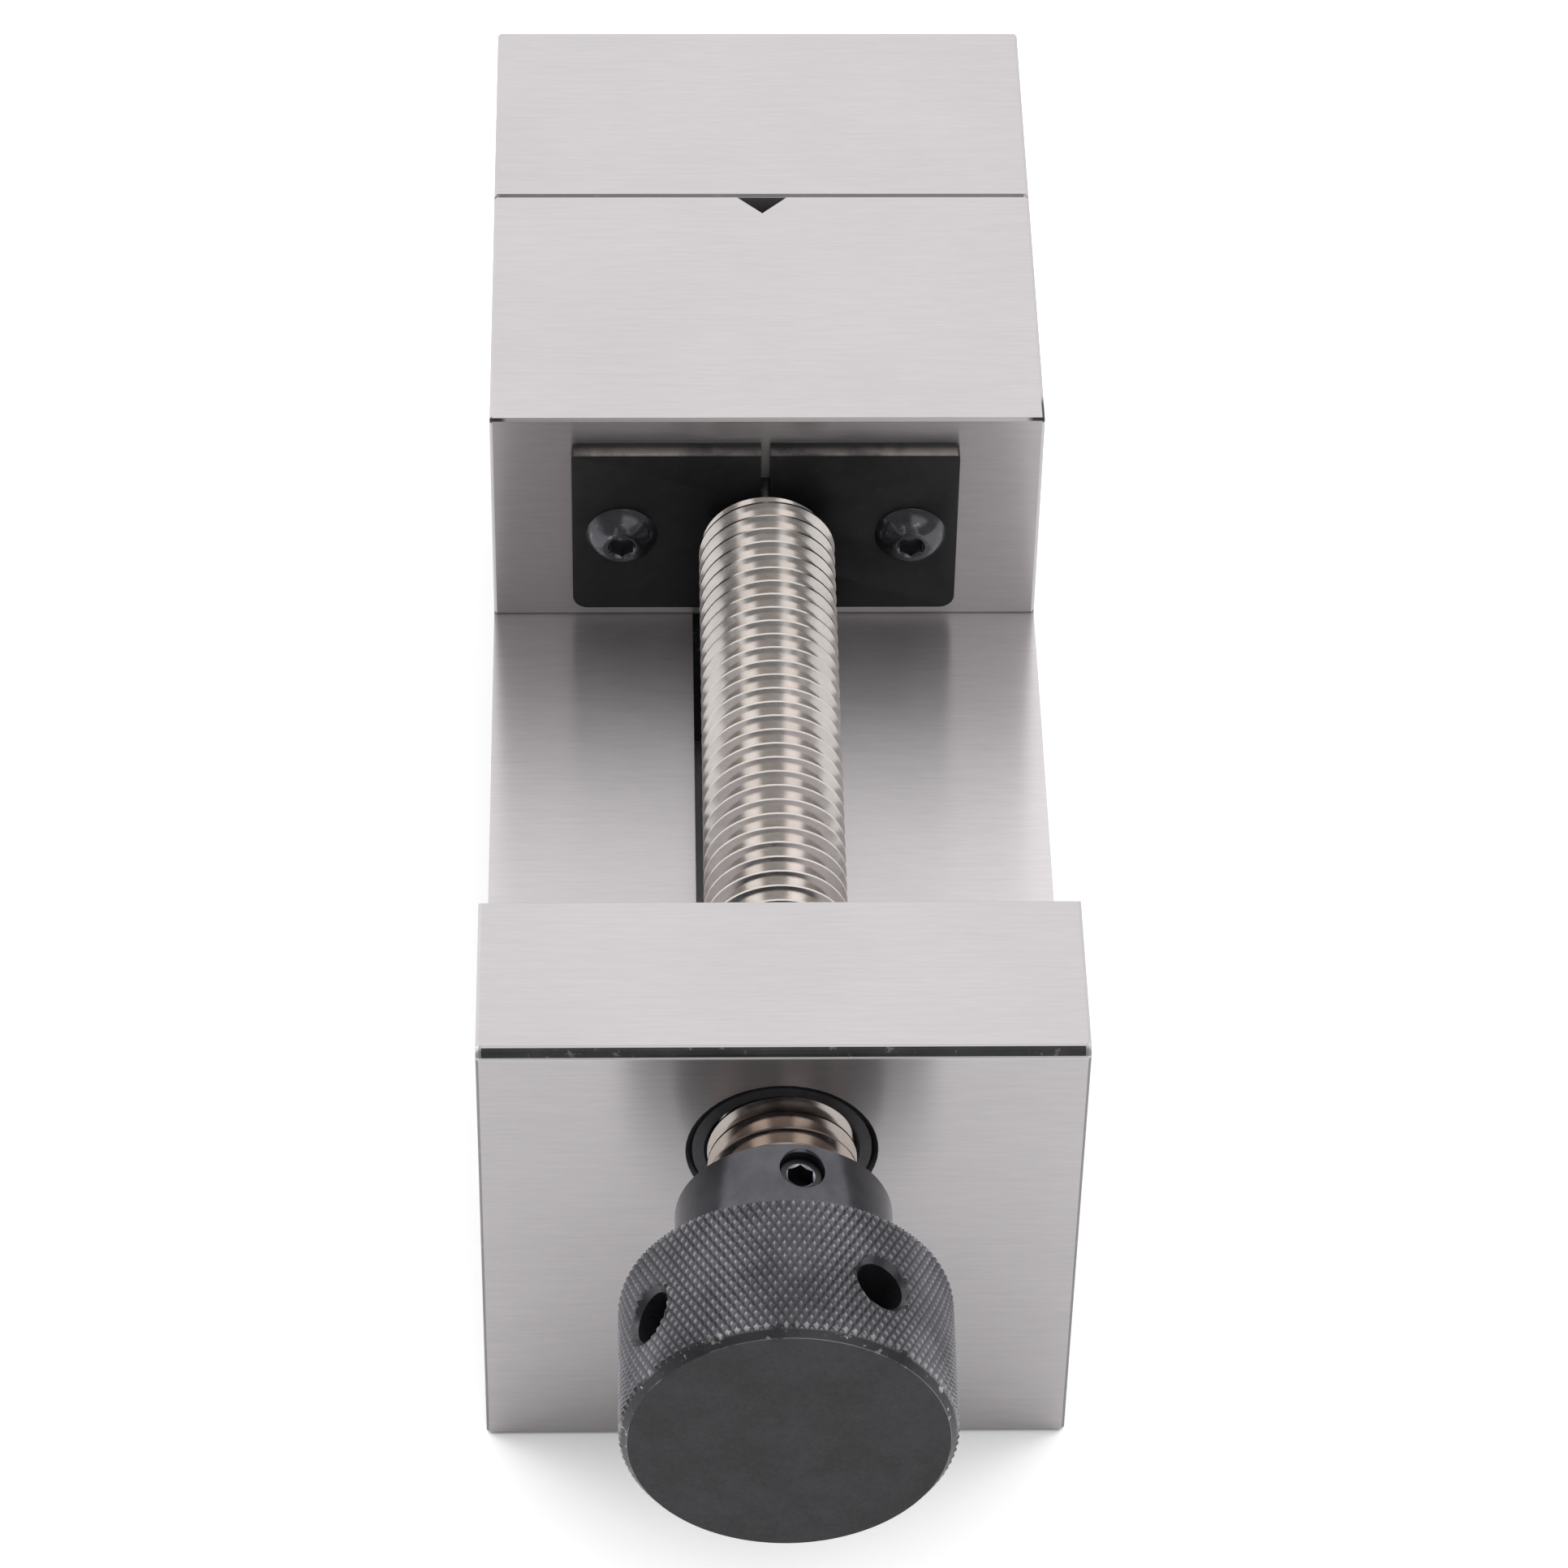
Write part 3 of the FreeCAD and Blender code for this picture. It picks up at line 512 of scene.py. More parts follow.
def jaw_shade(tree, split):
    """Painted shade: darkens the movable jaw's front to the left, where less light falls, and in a thin line
    along its lower edge, where the jaw meets the ways.
    """
    front = below(tree, split[1], JAW_LOW.y + 0.2 * MM)
    across = times(tree, front, ramp(tree, split[0], JAW_LOW.x, JAW_HIGH.x, -0.15, 0))
    foot = ramp(tree, split[2], WAYS_LEVEL + 0.1 * MM, WAYS_LEVEL + 0.4 * MM, 0.4, 1)
    return times(tree, foot, math_node(tree, "ADD", across, 1))


def ways_painted_light(tree, split):
    """Painted light: brightens the ways, the right one most."""
    on_ways = times(tree, below(tree, apart(tree, split[2], WAYS_LEVEL), 0.2 * MM),
                    above(tree, split[1], BLOCK_BACK + 0.1 * MM), below(tree, split[1], -0.1 * MM))
    gain = times(tree, on_ways, ramp(tree, split[0], JAW_LOW.x, JAW_HIGH.x, 0.1, 0.17))
    return math_node(tree, "ADD", gain, 1)


def ground_steel(name, levels, bare, shade, painted_highlight=None):
    """Ground steel on the faces at the given levels and where bare says so, blackened steel elsewhere.

    Bare, highlight and shade are functions of the tree and the place: a mask of bare chamfers, a mask of thin
    painted highlight lines along the block's front top chamfer, and a factor on the steel's tone that paints
    light and shade into it.
    """
    colours = bpy.context.scene.vise_colours
    material, tree, shader, place = start_material(name)
    split = split_axes(tree, place)
    masks = {axis: [] for axis in levels}
    for axis, values in levels.items():
        coordinate = split["XYZ".index(axis)]
        for value in values:
            masks[axis].append(place_group(
                tree, level_group(), {"Coordinate": coordinate, "Level": value})[0])
    along_x = most(tree, *masks["Y"], *masks["Z"])
    ground = most(tree, along_x, *masks["X"], bare(tree, split))

    lines = place_group(tree, grinding_group(), {"Vector": place, "Along X": along_x})
    black = place_group(tree, oxide_group(), {"Vector": place})
    # the last factor, shade, paints light and shade into the steel's tone
    steel_tone = times(tree, ramp(tree, lines["Tone"], 0.3, 0.7, 0.95, 1.05),
                       ramp(tree, lines["Shade"], 0.3, 0.7, 0.985, 1.015), shade(tree, split))
    steel = toned(tree, colours.ground, steel_tone)
    dark = toned(tree, colours.black, ramp(tree, black["Tone"], 0.3, 0.7, 0.45, 1.2))
    worn = blend_colours(tree, times(tree, black["Specks"], 0.35), dark, (*colours.rubbed, 1))
    colour = blend_colours(tree, ground, worn, steel)
    # painted highlight: thin bright lines in the block's front top chamfer
    if painted_highlight is not None:
        colour = blend_colours(tree, painted_highlight(tree, split), colour, (*colours.painted_highlight, 1))
    tree.links.new(colour, shader.inputs["Base Color"])
    tree.links.new(times(tree, ground, 0.9), shader.inputs["Metallic"])
    steel_rough = ramp(tree, lines["Tone"], 0.3, 0.7, 0.285, 0.305)
    tree.links.new(blend_values(tree, ground, 0.42, steel_rough), shader.inputs["Roughness"])
    shader.inputs["Anisotropic"].default_value = 0.95
    shader.inputs["Anisotropic Rotation"].default_value = 0.25
    across = add_node(tree, "ShaderNodeVectorTransform", {0: (1, 0.02, 0.01)}, vector_type="VECTOR",
                      convert_from="OBJECT", convert_to="WORLD").outputs[0]
    tree.links.new(across, shader.inputs["Tangent"])
    link_bump(tree, shader, blend_values(tree, ground, black["Grain"], lines["Height"]), 0.035, 0.02 * MM)
    return material


def blackened(name, roughness, shine=0.5, metal=0.0, grain=0.25, tone=1.0, specks=0.0, rubbed=None,
              on_knob=False):
    """Black oxide: a mottled dark tone with grain, rubbed bright where a mask says so."""
    colours = bpy.context.scene.vise_colours
    black_colour, bare_colour = colours.black, colours.rubbed
    if on_knob:
        black_colour, bare_colour = colours.knob, colours.knob_rubbed
    material, tree, shader, place = start_material(name)
    black = place_group(tree, oxide_group(), {"Vector": place})
    amount = ramp(tree, black["Tone"], 0.3, 0.7, 0.75 * tone, 1.3 * tone)
    colour = toned(tree, black_colour, amount)
    bare = times(tree, black["Specks"], specks)
    if rubbed is not None:
        bare = most(tree, bare, rubbed(tree, place, black))
    tree.links.new(blend_colours(tree, bare, colour, (*bare_colour, 1)), shader.inputs["Base Color"])
    tree.links.new(ramp(tree, bare, 0, 1, metal, 1), shader.inputs["Metallic"])
    dull = ramp(tree, black["Grain"], 0.3, 0.7, roughness * 0.85, roughness * 1.15)
    tree.links.new(dull, shader.inputs["Roughness"])
    shader.inputs["Specular IOR Level"].default_value = shine
    link_bump(tree, shader, black["Grain"], grain, 0.03 * MM)
    return material


def bright_steel():
    """The screw's bright turned steel, warm in the flanks, with the marks of the threading tool."""
    colours = bpy.context.scene.vise_colours
    material, tree, shader, place = start_material("bright_screw_steel")
    streaks = noise(tree, place, 3000, (0.2, 1, 0.2), 3, 0.6)
    stain = noise(tree, place, 160, detail=4, roughness=0.65)
    tone = times(tree, ramp(tree, streaks, 0.3, 0.7, 0.94, 1.04), ramp(tree, stain, 0.3, 0.7, 0.93, 1.03))
    # the colour is tinted darker and warmer from the knob towards the jaw
    tinted = ramp(tree, split_axes(tree, place)[1], *TINT_ENDS, 0.9, 0)
    colour = blend_colours(tree, tinted, toned(tree, colours.bright, tone), (*colours.knob_end_tint, 1), "MULTIPLY")
    tree.links.new(colour, shader.inputs["Base Color"])
    shader.inputs["Metallic"].default_value = 1.0
    tree.links.new(ramp(tree, streaks, 0.3, 0.7, 0.14, 0.2), shader.inputs["Roughness"])
    link_bump(tree, shader, streaks, 0.08, 0.01 * MM)
    return material


def worn_top_edge(tree, place, black):
    """Rubbed strip along the upper front edge of the plates, broken by the black's tone."""
    split = split_axes(tree, place)
    top = box_of("retainer_plate_left")[1].z
    front = ramp(tree, split[1], PLATE_FRONT + 0.4 * MM, PLATE_FRONT + 1.8 * MM, 1, 0.1)
    outer = ramp(tree, math_node(tree, "ABSOLUTE", split[0]), 2 * MM, 17 * MM, 0.4, 1.1)
    upper = ramp(tree, split[2], top - 0.3 * MM, top - 0.1 * MM, 0, 0.75)
    return times(tree, front, outer, upper, ramp(tree, black["Tone"], 0.35, 0.55, 0.35, 1))


def distance_from_axis(tree, place):
    """How far a point of the knob lies from its axis."""
    split = split_axes(tree, place)
    across = math_node(tree, "POWER", split[0], 2)
    upwards = math_node(tree, "POWER", math_node(tree, "SUBTRACT", split[2], AXIS_LEVEL), 2)
    return math_node(tree, "SQRT", math_node(tree, "ADD", across, upwards))


def rubbed_tips(tree, place, black):
    """Tips of the knurl, where hands have worn the black off."""
    tips = ramp(tree, distance_from_axis(tree, place), KNOB_HIGH.x - 0.2 * MM, KNOB_HIGH.x - 0.05 * MM, 0, 0.52)
    return times(tree, tips, ramp(tree, black["Tone"], 0.35, 0.6, 0.4, 1))


def rubbed_rim(tree, place, black):
    """A broken bright line along both edges of the knob's front chamfer."""
    away = distance_from_axis(tree, place)
    outer = ramp(tree, away, KNOB_HIGH.x - 0.45 * MM, KNOB_HIGH.x - 0.15 * MM, 0, 0.8)
    inner = ramp(tree, away, FACE_RADIUS - 0.05 * MM, FACE_RADIUS + 0.1 * MM, 0.8, 0)
    return times(tree, most(tree, outer, inner), ramp(tree, black["Tone"], 0.44, 0.56))


# Pieces


class VISE_OT_lead_screw(Operator):
    """Bright lead screw with its thread, neck, pivot end and spigot"""
    bl_idname = "vise.lead_screw"
    bl_label = "Lead screw"

    def execute(self, context):
        sizes = context.scene.vise_sizes
        crest = SCREW_HIGH.x
        root = crest - sizes.thread_depth
        flank = sizes.thread_depth * math.tan(math.radians(30))
        valley = sizes.thread_pitch - sizes.thread_crest - 2 * flank
        knob_end = KNOB_HIGH.y
        start = knob_end - 2.3 * sizes.thread_pitch

        bpy.ops.object.select_all(action="DESELECT")
        # a point at the thread's root, drawn out into the profile of one turn
        bpy.ops.mesh.primitive_plane_add(size=MM, enter_editmode=True, location=(0, start, AXIS_LEVEL))
        bpy.ops.mesh.merge(type="CENTER")
        bpy.ops.transform.translate(value=(0, 0, root))
        for step in ((0, valley, 0), (0, flank, sizes.thread_depth), (0, sizes.thread_crest, 0),
                     (0, flank, -sizes.thread_depth)):
            bpy.ops.mesh.extrude_vertices_move(TRANSFORM_OT_translate={"value": step})
        bpy.ops.object.mode_set(mode="OBJECT")
        screw = name_piece("threaded_screw")
        bpy.ops.object.modifier_add(type="SCREW")
        winding = screw.modifiers[-1]
        winding.axis = "Y"
        winding.angle = 2 * math.pi
        winding.screw_offset = sizes.thread_pitch
        winding.iterations = math.ceil((THREAD_END - start) / sizes.thread_pitch) + 2
        winding.steps = winding.render_steps = 56
        winding.use_merge_vertices = True
        winding.merge_threshold = 0.005 * MM
        bpy.ops.object.modifier_apply(modifier=winding.name)
        bpy.ops.object.mode_set(mode="EDIT")
        bpy.ops.mesh.select_all(action="SELECT")
        bpy.ops.mesh.remove_doubles(threshold=0.005 * MM)
        bpy.ops.mesh.select_all(action="SELECT")
        bpy.ops.mesh.fill_holes(sides=0)
        bpy.ops.object.mode_set(mode="OBJECT")
        close_up(screw)
        bar = turned("bar", [(knob_end, 1.1 * crest), (THREAD_END - 1.5 * THREAD_BEVEL, 1.1 * crest),
                             (THREAD_END - THREAD_BEVEL, crest), (THREAD_END, crest - THREAD_BEVEL)])
        combine(screw, bar, "INTERSECT")
        pivot_start = JAW_LOW.y + 0.1 * MM
        neck = turned("neck", [
            (THREAD_END - MM, NECK_RADIUS), (pivot_start, NECK_RADIUS), (pivot_start, PIVOT_RADIUS),
            (SCREW_HIGH.y - PIVOT_BEVEL, PIVOT_RADIUS), (SCREW_HIGH.y, PIVOT_RADIUS - PIVOT_BEVEL)])
        spigot = turned("spigot", [(SCREW_LOW.y, SPIGOT_RADIUS), (knob_end + MM, SPIGOT_RADIUS)])
        join(screw, neck, spigot)
        settle(screw, 35)
        # painted shade: the neck between the thread and the jaw gets a dark finish, standing in for the shade
        # behind the plates
        dress(screw, bright_steel(), blackened("neck_painted_shade", 0.3, 0.5, 0.9, 0.1, tone=6))
        paint_faces(screw, 1, lambda centre, normal: THREAD_END + 0.2 * MM < centre.y < JAW_LOW.y - 0.3 * MM)
        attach(screw, "screw")
        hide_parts("lead_screw")
        return {"FINISHED"}


class VISE_OT_knob(Operator):
    """Blackened knob: smooth hub, knurled head, flat face, holes for the tommy bar and the set screw"""
    bl_idname = "vise.knob"
    bl_label = "Knurled knob"

    def execute(self, context):
        sizes = context.scene.vise_sizes
        radius = KNOB_HIGH.z - AXIS_LEVEL
        back = KNOB_HIGH.y
        face = KNOB_LOW.y
        shoulder = back - HUB_LENGTH
        root = radius - sizes.knurl_depth
        width = 2 * math.pi * root / sizes.knurl_count
        height = sizes.knurl_height
        rows = math.ceil((shoulder - face) / height) + 3

        # one tooth is a four-sided pyramid with a small flat on top, and a second one fills the gap beside it
        bpy.ops.object.select_all(action="DESELECT")
        bpy.ops.mesh.primitive_cone_add(
            vertices=4, radius1=0.5, radius2=0.07, depth=1, enter_editmode=True, location=(0, 0, 0))
        bpy.ops.mesh.select_all(action="SELECT")
        bpy.ops.transform.translate(value=(0, 0, 0.5))
        bpy.ops.transform.resize(value=(width, height, sizes.knurl_depth), center_override=(0, 0, 0))
        bpy.ops.mesh.select_all(action="DESELECT")
        bpy.ops.object.mode_set(mode="OBJECT")
        knurl = name_piece("knurled_knob")
        for polygon in knurl.data.polygons:
            polygon.select = polygon.normal.z < -0.9
        bpy.ops.object.mode_set(mode="EDIT")
        bpy.ops.mesh.select_mode(type="FACE")
        bpy.ops.mesh.delete(type="ONLY_FACE")
        bpy.ops.mesh.select_all(action="SELECT")
        bpy.ops.mesh.duplicate_move(TRANSFORM_OT_translate={"value": (width / 2, height / 2, 0)})
        bpy.ops.object.mode_set(mode="OBJECT")
        for offset, count in (((width, 0, 0), sizes.knurl_count), ((0, height, 0), rows)):
            bpy.ops.object.modifier_add(type="ARRAY")
            array = knurl.modifiers[-1]
            array.use_relative_offset = False
            array.use_constant_offset = True
            array.constant_offset_displace = offset
            array.count = count
            bpy.ops.object.modifier_apply(modifier=array.name)
        bpy.ops.object.mode_set(mode="EDIT")
        bpy.ops.mesh.select_all(action="SELECT")
        bpy.ops.mesh.remove_doubles(threshold=0.01 * MM)
        # stand the sheet up with its teeth pointing along -Y, and bend it so that its staggered ends meet
        bpy.ops.transform.translate(value=(0, -rows * height / 2, 0))
        bpy.ops.object.mode_set(mode="OBJECT")
        knurl.rotation_euler = (math.pi / 2, 0, 0)
        bpy.ops.object.transform_apply(location=True, rotation=True, scale=True)
        bpy.ops.object.modifier_add(type="SIMPLE_DEFORM")
        bend = knurl.modifiers[-1]
        bend.deform_method = "BEND"
        bend.deform_axis = "Z"
        bend.angle = 2 * math.pi * (sizes.knurl_count + 0.5) / sizes.knurl_count
        bpy.ops.object.modifier_apply(modifier=bend.name)
        bpy.ops.object.mode_set(mode="EDIT")
        bpy.ops.mesh.select_all(action="SELECT")
        bpy.ops.mesh.remove_doubles(threshold=0.02 * MM)
        bpy.ops.mesh.select_all(action="SELECT")
        bpy.ops.mesh.fill_holes(sides=0)
        bpy.ops.mesh.select_all(action="SELECT")
        bpy.ops.mesh.normals_make_consistent(inside=False)
        bpy.ops.object.mode_set(mode="OBJECT")
        knurl.matrix_world = (Matrix.Translation((0, (face + shoulder) / 2, AXIS_LEVEL))
                              @ Matrix.Rotation(math.pi / 2, 4, "X")
                              @ Matrix.Translation((0, -root, height / 4)))
        pick_only(knurl)
        bpy.ops.object.transform_apply(location=True, rotation=True, scale=True)

        over = radius + 0.02 * MM
        head = turned("head", [
            (face, FACE_RADIUS), (face + FACE_CHAMFER, over), (shoulder, over)], sides=2 * sizes.knurl_count)
        combine(knurl, head, "INTERSECT")
        combine(knurl, turned("hub", [
            (shoulder - 3 * MM, HUB_RADIUS), (back - HUB_BEVEL, HUB_RADIUS),
            (back, HUB_RADIUS - HUB_BEVEL)], sides=96), "UNION")
        bar_place = shoulder - BAR_HOLE_PLACE
        mouth = sizes.hole_mouth
        # the holes are drilled from outside; a cone opens each mouth
        for angle in BAR_HOLE_ANGLES:
            drill = turned("drill", [
                (radius - BAR_HOLE_DEPTH, BAR_HOLE_RADIUS), (radius - mouth - 0.2 * MM, BAR_HOLE_RADIUS),
                (radius + 1.5 * MM, BAR_HOLE_RADIUS + mouth + 1.7 * MM)], centre=(0, 0), sides=40)
            combine(knurl, stand_across(drill, bar_place, angle))
        bore = GRUB_RADIUS + 0.02 * MM
        tap = turned("tap", [
            (5 * MM, bore), (HUB_RADIUS - 0.3 * MM, bore), (HUB_RADIUS + MM, bore + 1.3 * MM)],
            centre=(0, 0), sides=40)
        combine(knurl, stand_across(tap, back - GRUB_PLACE, GRUB_ANGLE))
        settle(knurl, 25)
        dress(knurl,
              blackened("knob_knurl", 0.33, 0.8, 0.85, 0.1, 3.8, rubbed=rubbed_tips, on_knob=True),
              blackened("knob_face", 0.5, 0.3, tone=0.84, on_knob=True),
              blackened("knob_hub", 0.2, 0.8, 0.8, 0.1, 2.15, on_knob=True),
              blackened("knob_edge", 0.4, 0.5, 0.5, 0.5, 1.2, 0.9, rubbed=rubbed_rim, on_knob=True),
              blackened("knob_holes", 0.3, 0.6, 0.6, 0.1, 1.5, on_knob=True))

        paint_faces(knurl, 1, lambda centre, normal: centre.y < face + 0.05 * MM)
        paint_faces(knurl, 2, lambda centre, normal: centre.y > shoulder - 0.05 * MM
                    or math.hypot(centre.x, centre.z - AXIS_LEVEL) < root - 1.4 * MM
                    and centre.y > face + 0.1 * MM)
        paint_faces(knurl, 3, lambda centre, normal: face + 0.05 * MM < centre.y < face + FACE_CHAMFER
                    and -0.95 < normal.y < -0.3)
        foot = Vector((0, bar_place, AXIS_LEVEL))
        for angle in BAR_HOLE_ANGLES:
            axis = Vector((math.sin(angle), 0, math.cos(angle)))
            paint_faces(knurl, 4, lambda centre, normal: (centre - foot).dot(axis) > 5 * MM
                        and distance_from_line(centre, foot, axis) < BAR_HOLE_RADIUS + mouth + 0.05 * MM
                        and abs(normal.dot(axis)) < 0.9)
        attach(knurl, "screw")
        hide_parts("knob")
        return {"FINISHED"}


class VISE_OT_set_screw(Operator):
    """Set screw in the hub, with its hexagon socket"""
    bl_idname = "vise.set_screw"
    bl_label = "Hub set screw"

    def execute(self, context):
        grub = turned("hub_set_screw", [
            (GRUB_FOOT, GRUB_RADIUS), (GRUB_TOP - GRUB_BEVEL, GRUB_RADIUS),
            (GRUB_TOP, GRUB_RADIUS - GRUB_BEVEL)], centre=(0, 0), sides=40)
        combine(grub, prism("key", KEY_SIZE, GRUB_TOP - 2.5 * MM, GRUB_TOP + 0.4 * MM, (0, 0)))
        combine(grub, turned("mouth", [(GRUB_TOP - 0.3 * MM, 1.45 * MM), (GRUB_TOP + 0.1 * MM, 1.85 * MM)],
                             centre=(0, 0), sides=32))
        settle(stand_across(grub, KNOB_HIGH.y - GRUB_PLACE, GRUB_ANGLE))
        dress(grub, blackened("set_screw_black", 0.35, 0.4, 0.2, tone=0.5),
              blackened("set_screw_rim", 0.4, 0.8, 0.8, 0.1, tone=18))
        axis = Vector((math.sin(GRUB_ANGLE), 0, math.cos(GRUB_ANGLE)))
        foot = Vector((0, KNOB_HIGH.y - GRUB_PLACE, AXIS_LEVEL))
        paint_faces(grub, 1, lambda centre, normal: 0.5 < normal.dot(axis) < 0.9
                    and distance_from_line(centre, foot, axis) < 2 * MM)
        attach(grub, "screw")
        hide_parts("knob_set_screw")
        return {"FINISHED"}


class VISE_OT_plates(Operator):
    """The two plates that hold the screw's end in the movable jaw"""
    bl_idname = "vise.plates"
    bl_label = "Holding plates"

    def execute(self, context):
        finish = blackened("plate_black", 0.4, 0.25, grain=0.2, tone=0.45, specks=0.02, rubbed=worn_top_edge)
        for side, sign in (("left", -1), ("right", 1)):
            node = f"retainer_plate_{side}"
            low, high = box_of(node)
            far = low.x if sign < 0 else high.x
            bpy.ops.object.select_all(action="DESELECT")
            bpy.ops.mesh.primitive_cube_add(size=1, location=(low + high) / 2)
            plate = name_piece(f"holding_plate_{side}")
            plate.scale = high - low
            bpy.ops.object.transform_apply(location=False, rotation=False, scale=True)
            for level, radius in ((low.z, 2 * MM), (high.z, 0.8 * MM)):
                pick_edges(plate, lambda first, second: all(
                    abs(end.x - far) < 0.01 * MM and abs(end.z - level) < 0.01 * MM for end in (first, second)))
                bpy.ops.mesh.bevel(offset=radius, segments=6, affect="EDGES")
                bpy.ops.object.mode_set(mode="OBJECT")
            neck_hole = NECK_RADIUS + 0.3 * MM
            combine(plate, turned("neck_hole", [(low.y - MM, neck_hole), (high.y + MM, neck_hole)]))
            hole = BUTTON_SHANK + 0.25 * MM
            combine(plate, turned("screw_hole", [(low.y - MM, hole), (high.y + MM, hole)],
                                  centre=(sign * BUTTON_ACROSS, BUTTON_LEVEL), sides=32))
            pick_only(plate)
            bpy.ops.object.modifier_add(type="BEVEL")
            edge = plate.modifiers[-1]
            edge.width = context.scene.vise_sizes.worn_edge
            edge.segments = 3
            edge.limit_method = "ANGLE"
            edge.angle_limit = math.radians(40)
            bpy.ops.object.modifier_apply(modifier=edge.name)
            settle(plate, 40)
            dress(plate, finish)
            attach(plate, "sliding_jaw")
            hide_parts(node)
        return {"FINISHED"}


class VISE_OT_button_screws(Operator):
    """The two button-head screws in the plates"""
    bl_idname = "vise.button_screws"
    bl_label = "Button-head screws"

    def execute(self, context):
        finish = blackened("button_black", 0.17, 0.9, 0.7, grain=0.25, tone=2.1, specks=0.5)
        # the dome is part of a ball whose middle lies behind the head's seat
        middle = (BUTTON_RADIUS ** 2 - BUTTON_FLAT ** 2 - BUTTON_HEIGHT ** 2) / (2 * BUTTON_HEIGHT)
        ball = math.hypot(BUTTON_RADIUS, middle)
        first = math.acos(BUTTON_RADIUS / ball)
        last = math.acos(BUTTON_FLAT / ball)
        for side, sign in (("left", -1), ("right", 1)):
            centre = (sign * BUTTON_ACROSS, BUTTON_LEVEL)
            stations = [(JAW_LOW.y + 9 * MM, BUTTON_SHANK), (PLATE_FRONT, BUTTON_SHANK),
                        (PLATE_FRONT, BUTTON_RADIUS - 0.15 * MM), (PLATE_FRONT - 0.1 * MM, BUTTON_RADIUS)]
            for step in range(1, 11):
                angle = first + (last - first) * step / 10
                stations.append((PLATE_FRONT + middle - ball * math.sin(angle), ball * math.cos(angle)))
            screw = turned(f"button_screw_{side}", stations, centre=centre)
            tip = PLATE_FRONT - BUTTON_HEIGHT
            combine(screw, prism("key", KEY_SIZE, tip - MM, tip + 1.7 * MM, centre))
            combine(screw, turned("mouth", [(tip - 0.1 * MM, 1.95 * MM), (tip + 0.3 * MM, 1.55 * MM)],
                                  centre=centre, sides=48))
            settle(screw, 35)
            dress(screw, finish)
            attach(screw, "sliding_jaw")
            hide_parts(f"retainer_screw_{side}")
        return {"FINISHED"}


class VISE_OT_finishes(Operator):
    """Finishes of the pieces that keep the frame's own shape: body, jaw, keeper, bush and keeper screws"""
    bl_idname = "vise.finishes"
    bl_label = "Finishes of the frame"

    def execute(self, context):
        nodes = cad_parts
        # the body gets painted light on its ways and painted highlight lines in its front top chamfer; the jaw
        # gets painted shade on its front and along its foot
        dress(nodes["body"], ground_steel("ground_body", {
            "X": (BODY_LOW.x, BODY_HIGH.x), "Y": (BODY_LOW.y, BLOCK_BACK, 0, BODY_HIGH.y),
            "Z": (0, WAYS_LEVEL, BODY_HIGH.z)}, bare_body_edges, ways_painted_light, painted_edge_highlights))
        dress(nodes["movable_jaw"], ground_steel("ground_jaw", {
            "X": (JAW_LOW.x, JAW_HIGH.x), "Y": (JAW_LOW.y, 0), "Z": (WAYS_LEVEL, JAW_HIGH.z)},
            bare_jaw_edges, jaw_shade))
        milled = blackened("milled_black", 0.45, 0.5, 0.3, tone=1.6)
        for name in ("keeper_plate", "nut_bush", "keeper_screw_front", "keeper_screw_rear"):
            dress(nodes[name], milled)
        return {"FINISHED"}


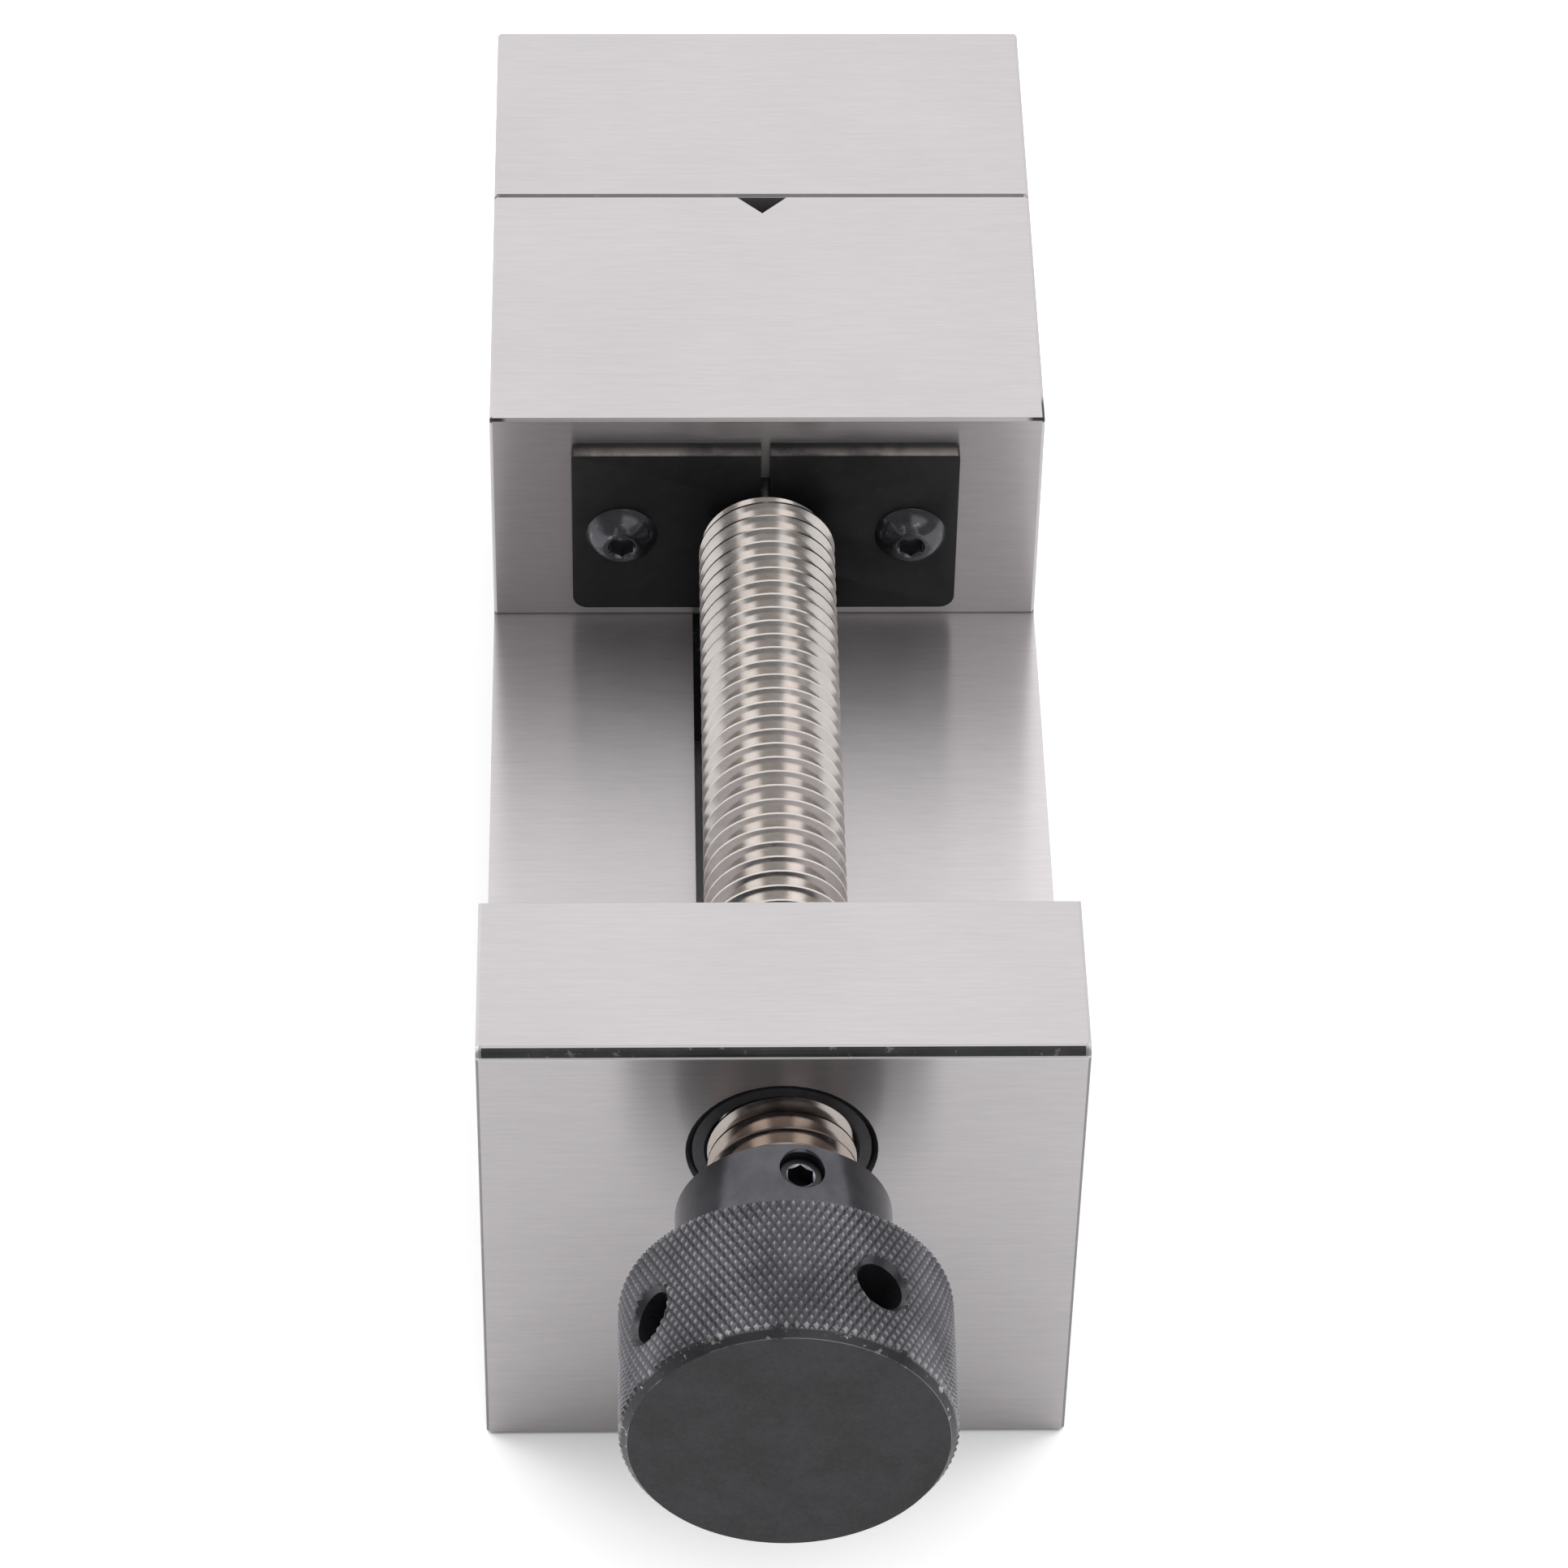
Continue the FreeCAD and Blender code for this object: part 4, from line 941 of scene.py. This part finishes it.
class VISE_OT_stage(Operator):
    """White studio floor, soft light and the camera of the photograph"""
    bl_idname = "vise.stage"
    bl_label = "Studio"

    def execute(self, context):
        scene = context.scene
        scene.view_settings.view_transform = "Standard"
        bpy.ops.object.select_all(action="DESELECT")
        bpy.ops.mesh.primitive_plane_add(size=12, location=(0, 0, -0.1 * MM))
        floor = name_piece("studio_floor")
        material, tree, shader, place = start_material("studio_floor")
        shader.inputs["Base Color"].default_value = (*scene.vise_colours.floor, 1)
        shader.inputs["Roughness"].default_value = 0.9
        shader.inputs["Specular IOR Level"].default_value = 0.0
        path = tree.nodes.new("ShaderNodeLightPath").outputs
        mirrored = most(tree, path["Is Glossy Ray"], path["Is Transmission Ray"])
        shader.inputs["Emission Color"].default_value = (1, 1, 1, 1)
        open_sky = add_node(tree, "ShaderNodeAmbientOcclusion", {"Distance": 0.15}, samples=8).outputs["AO"]
        seen = times(tree, path["Is Camera Ray"], ramp(tree, open_sky, 0.1, 0.8, 0, 0.62))
        glow = math_node(tree, "ADD", seen, times(tree, mirrored, ramp(tree, open_sky, 0.25, 0.95, 0, 0.38)))
        tree.links.new(glow, shader.inputs["Emission Strength"])
        dress(floor, material)

        world = bpy.data.worlds.new("studio")
        scene.world = world
        world.use_nodes = True
        tree = world.node_tree
        direction = tree.nodes.new("ShaderNodeTexCoord").outputs["Generated"]
        split = split_axes(tree, direction)
        # the sky grows from front to rear, with a patch high in front to the right and one low to the left
        rear = ramp(tree, split[1], -0.2, 0.56, 0.31, 1.43)
        right = times(tree, ramp(tree, split[0], -0.05, 0.12, 0, 1.1),
                      ramp(tree, split[1], -0.45, -0.25, 1, 0), ramp(tree, split[2], 0.4, 0.6))
        left = times(tree, ramp(tree, split[0], -0.95, -0.7, 0.6, 0), ramp(tree, split[2], 0.1, 0.4, 1, 0))
        sky = math_node(tree, "ADD", math_node(tree, "ADD", rear, right), left)
        path = tree.nodes.new("ShaderNodeLightPath").outputs
        tree.links.new(blend_values(tree, path["Is Camera Ray"], sky, 1.0),
                       tree.nodes["Background"].inputs["Strength"])
        tree.nodes["Background"].inputs["Color"].default_value = (1, 1, 1, 1)

        for name, place, width, height, power in LAMPS:
            aim = LAMP_TARGET - Vector(place)
            bpy.ops.object.light_add(
                type="AREA", location=place, rotation=aim.to_track_quat("-Z", "Y").to_euler())
            lamp = bpy.context.active_object
            lamp.name = name
            lamp.data.shape = "RECTANGLE"
            lamp.data.size = width
            lamp.data.size_y = height
            lamp.data.energy = power

        turn = (Euler((math.pi / 2 - CAMERA_ELEVATION, 0, -CAMERA_YAW)).to_matrix()
                @ Matrix.Rotation(CAMERA_ROLL, 3, "Z"))
        bpy.ops.object.camera_add(location=CAMERA_PLACE, rotation=turn.to_euler())
        camera = bpy.context.active_object
        camera.data.sensor_width = CAMERA_SENSOR
        camera.data.lens = CAMERA_LENS
        camera.data.clip_start = 0.01
        scene.camera = camera
        return {"FINISHED"}


STEPS = (VISE_OT_finishes, VISE_OT_lead_screw, VISE_OT_knob, VISE_OT_set_screw, VISE_OT_plates,
         VISE_OT_button_screws, VISE_OT_stage)


class VISE_PT_panel(Panel):
    """Sizes, colours and steps of the vise in the 3D view's sidebar"""
    bl_label = "Precision vise"
    bl_idname = "VISE_PT_panel"
    bl_space_type = "VIEW_3D"
    bl_region_type = "UI"
    bl_category = "Vise"

    def draw(self, context):
        for group in (context.scene.vise_sizes, context.scene.vise_colours):
            column = self.layout.column()
            for name in group.bl_rna.properties.keys():
                if name not in {"rna_type", "name"}:
                    column.prop(group, name)
        for step in STEPS:
            self.layout.operator(step.bl_idname)


CLASSES = (ViseSizes, ViseColours, *STEPS, VISE_PT_panel)


def register():
    for item in CLASSES:
        bpy.utils.register_class(item)
    bpy.types.Scene.vise_sizes = PointerProperty(type=ViseSizes)
    bpy.types.Scene.vise_colours = PointerProperty(type=ViseColours)


def unregister():
    del bpy.types.Scene.vise_colours
    del bpy.types.Scene.vise_sizes
    for item in reversed(CLASSES):
        bpy.utils.unregister_class(item)


def main():
    """Runs all steps in order."""
    register()
    for step in STEPS:
        group, name = step.bl_idname.split(".")
        getattr(getattr(bpy.ops, group), name)()


if __name__ == "__main__":
    main()
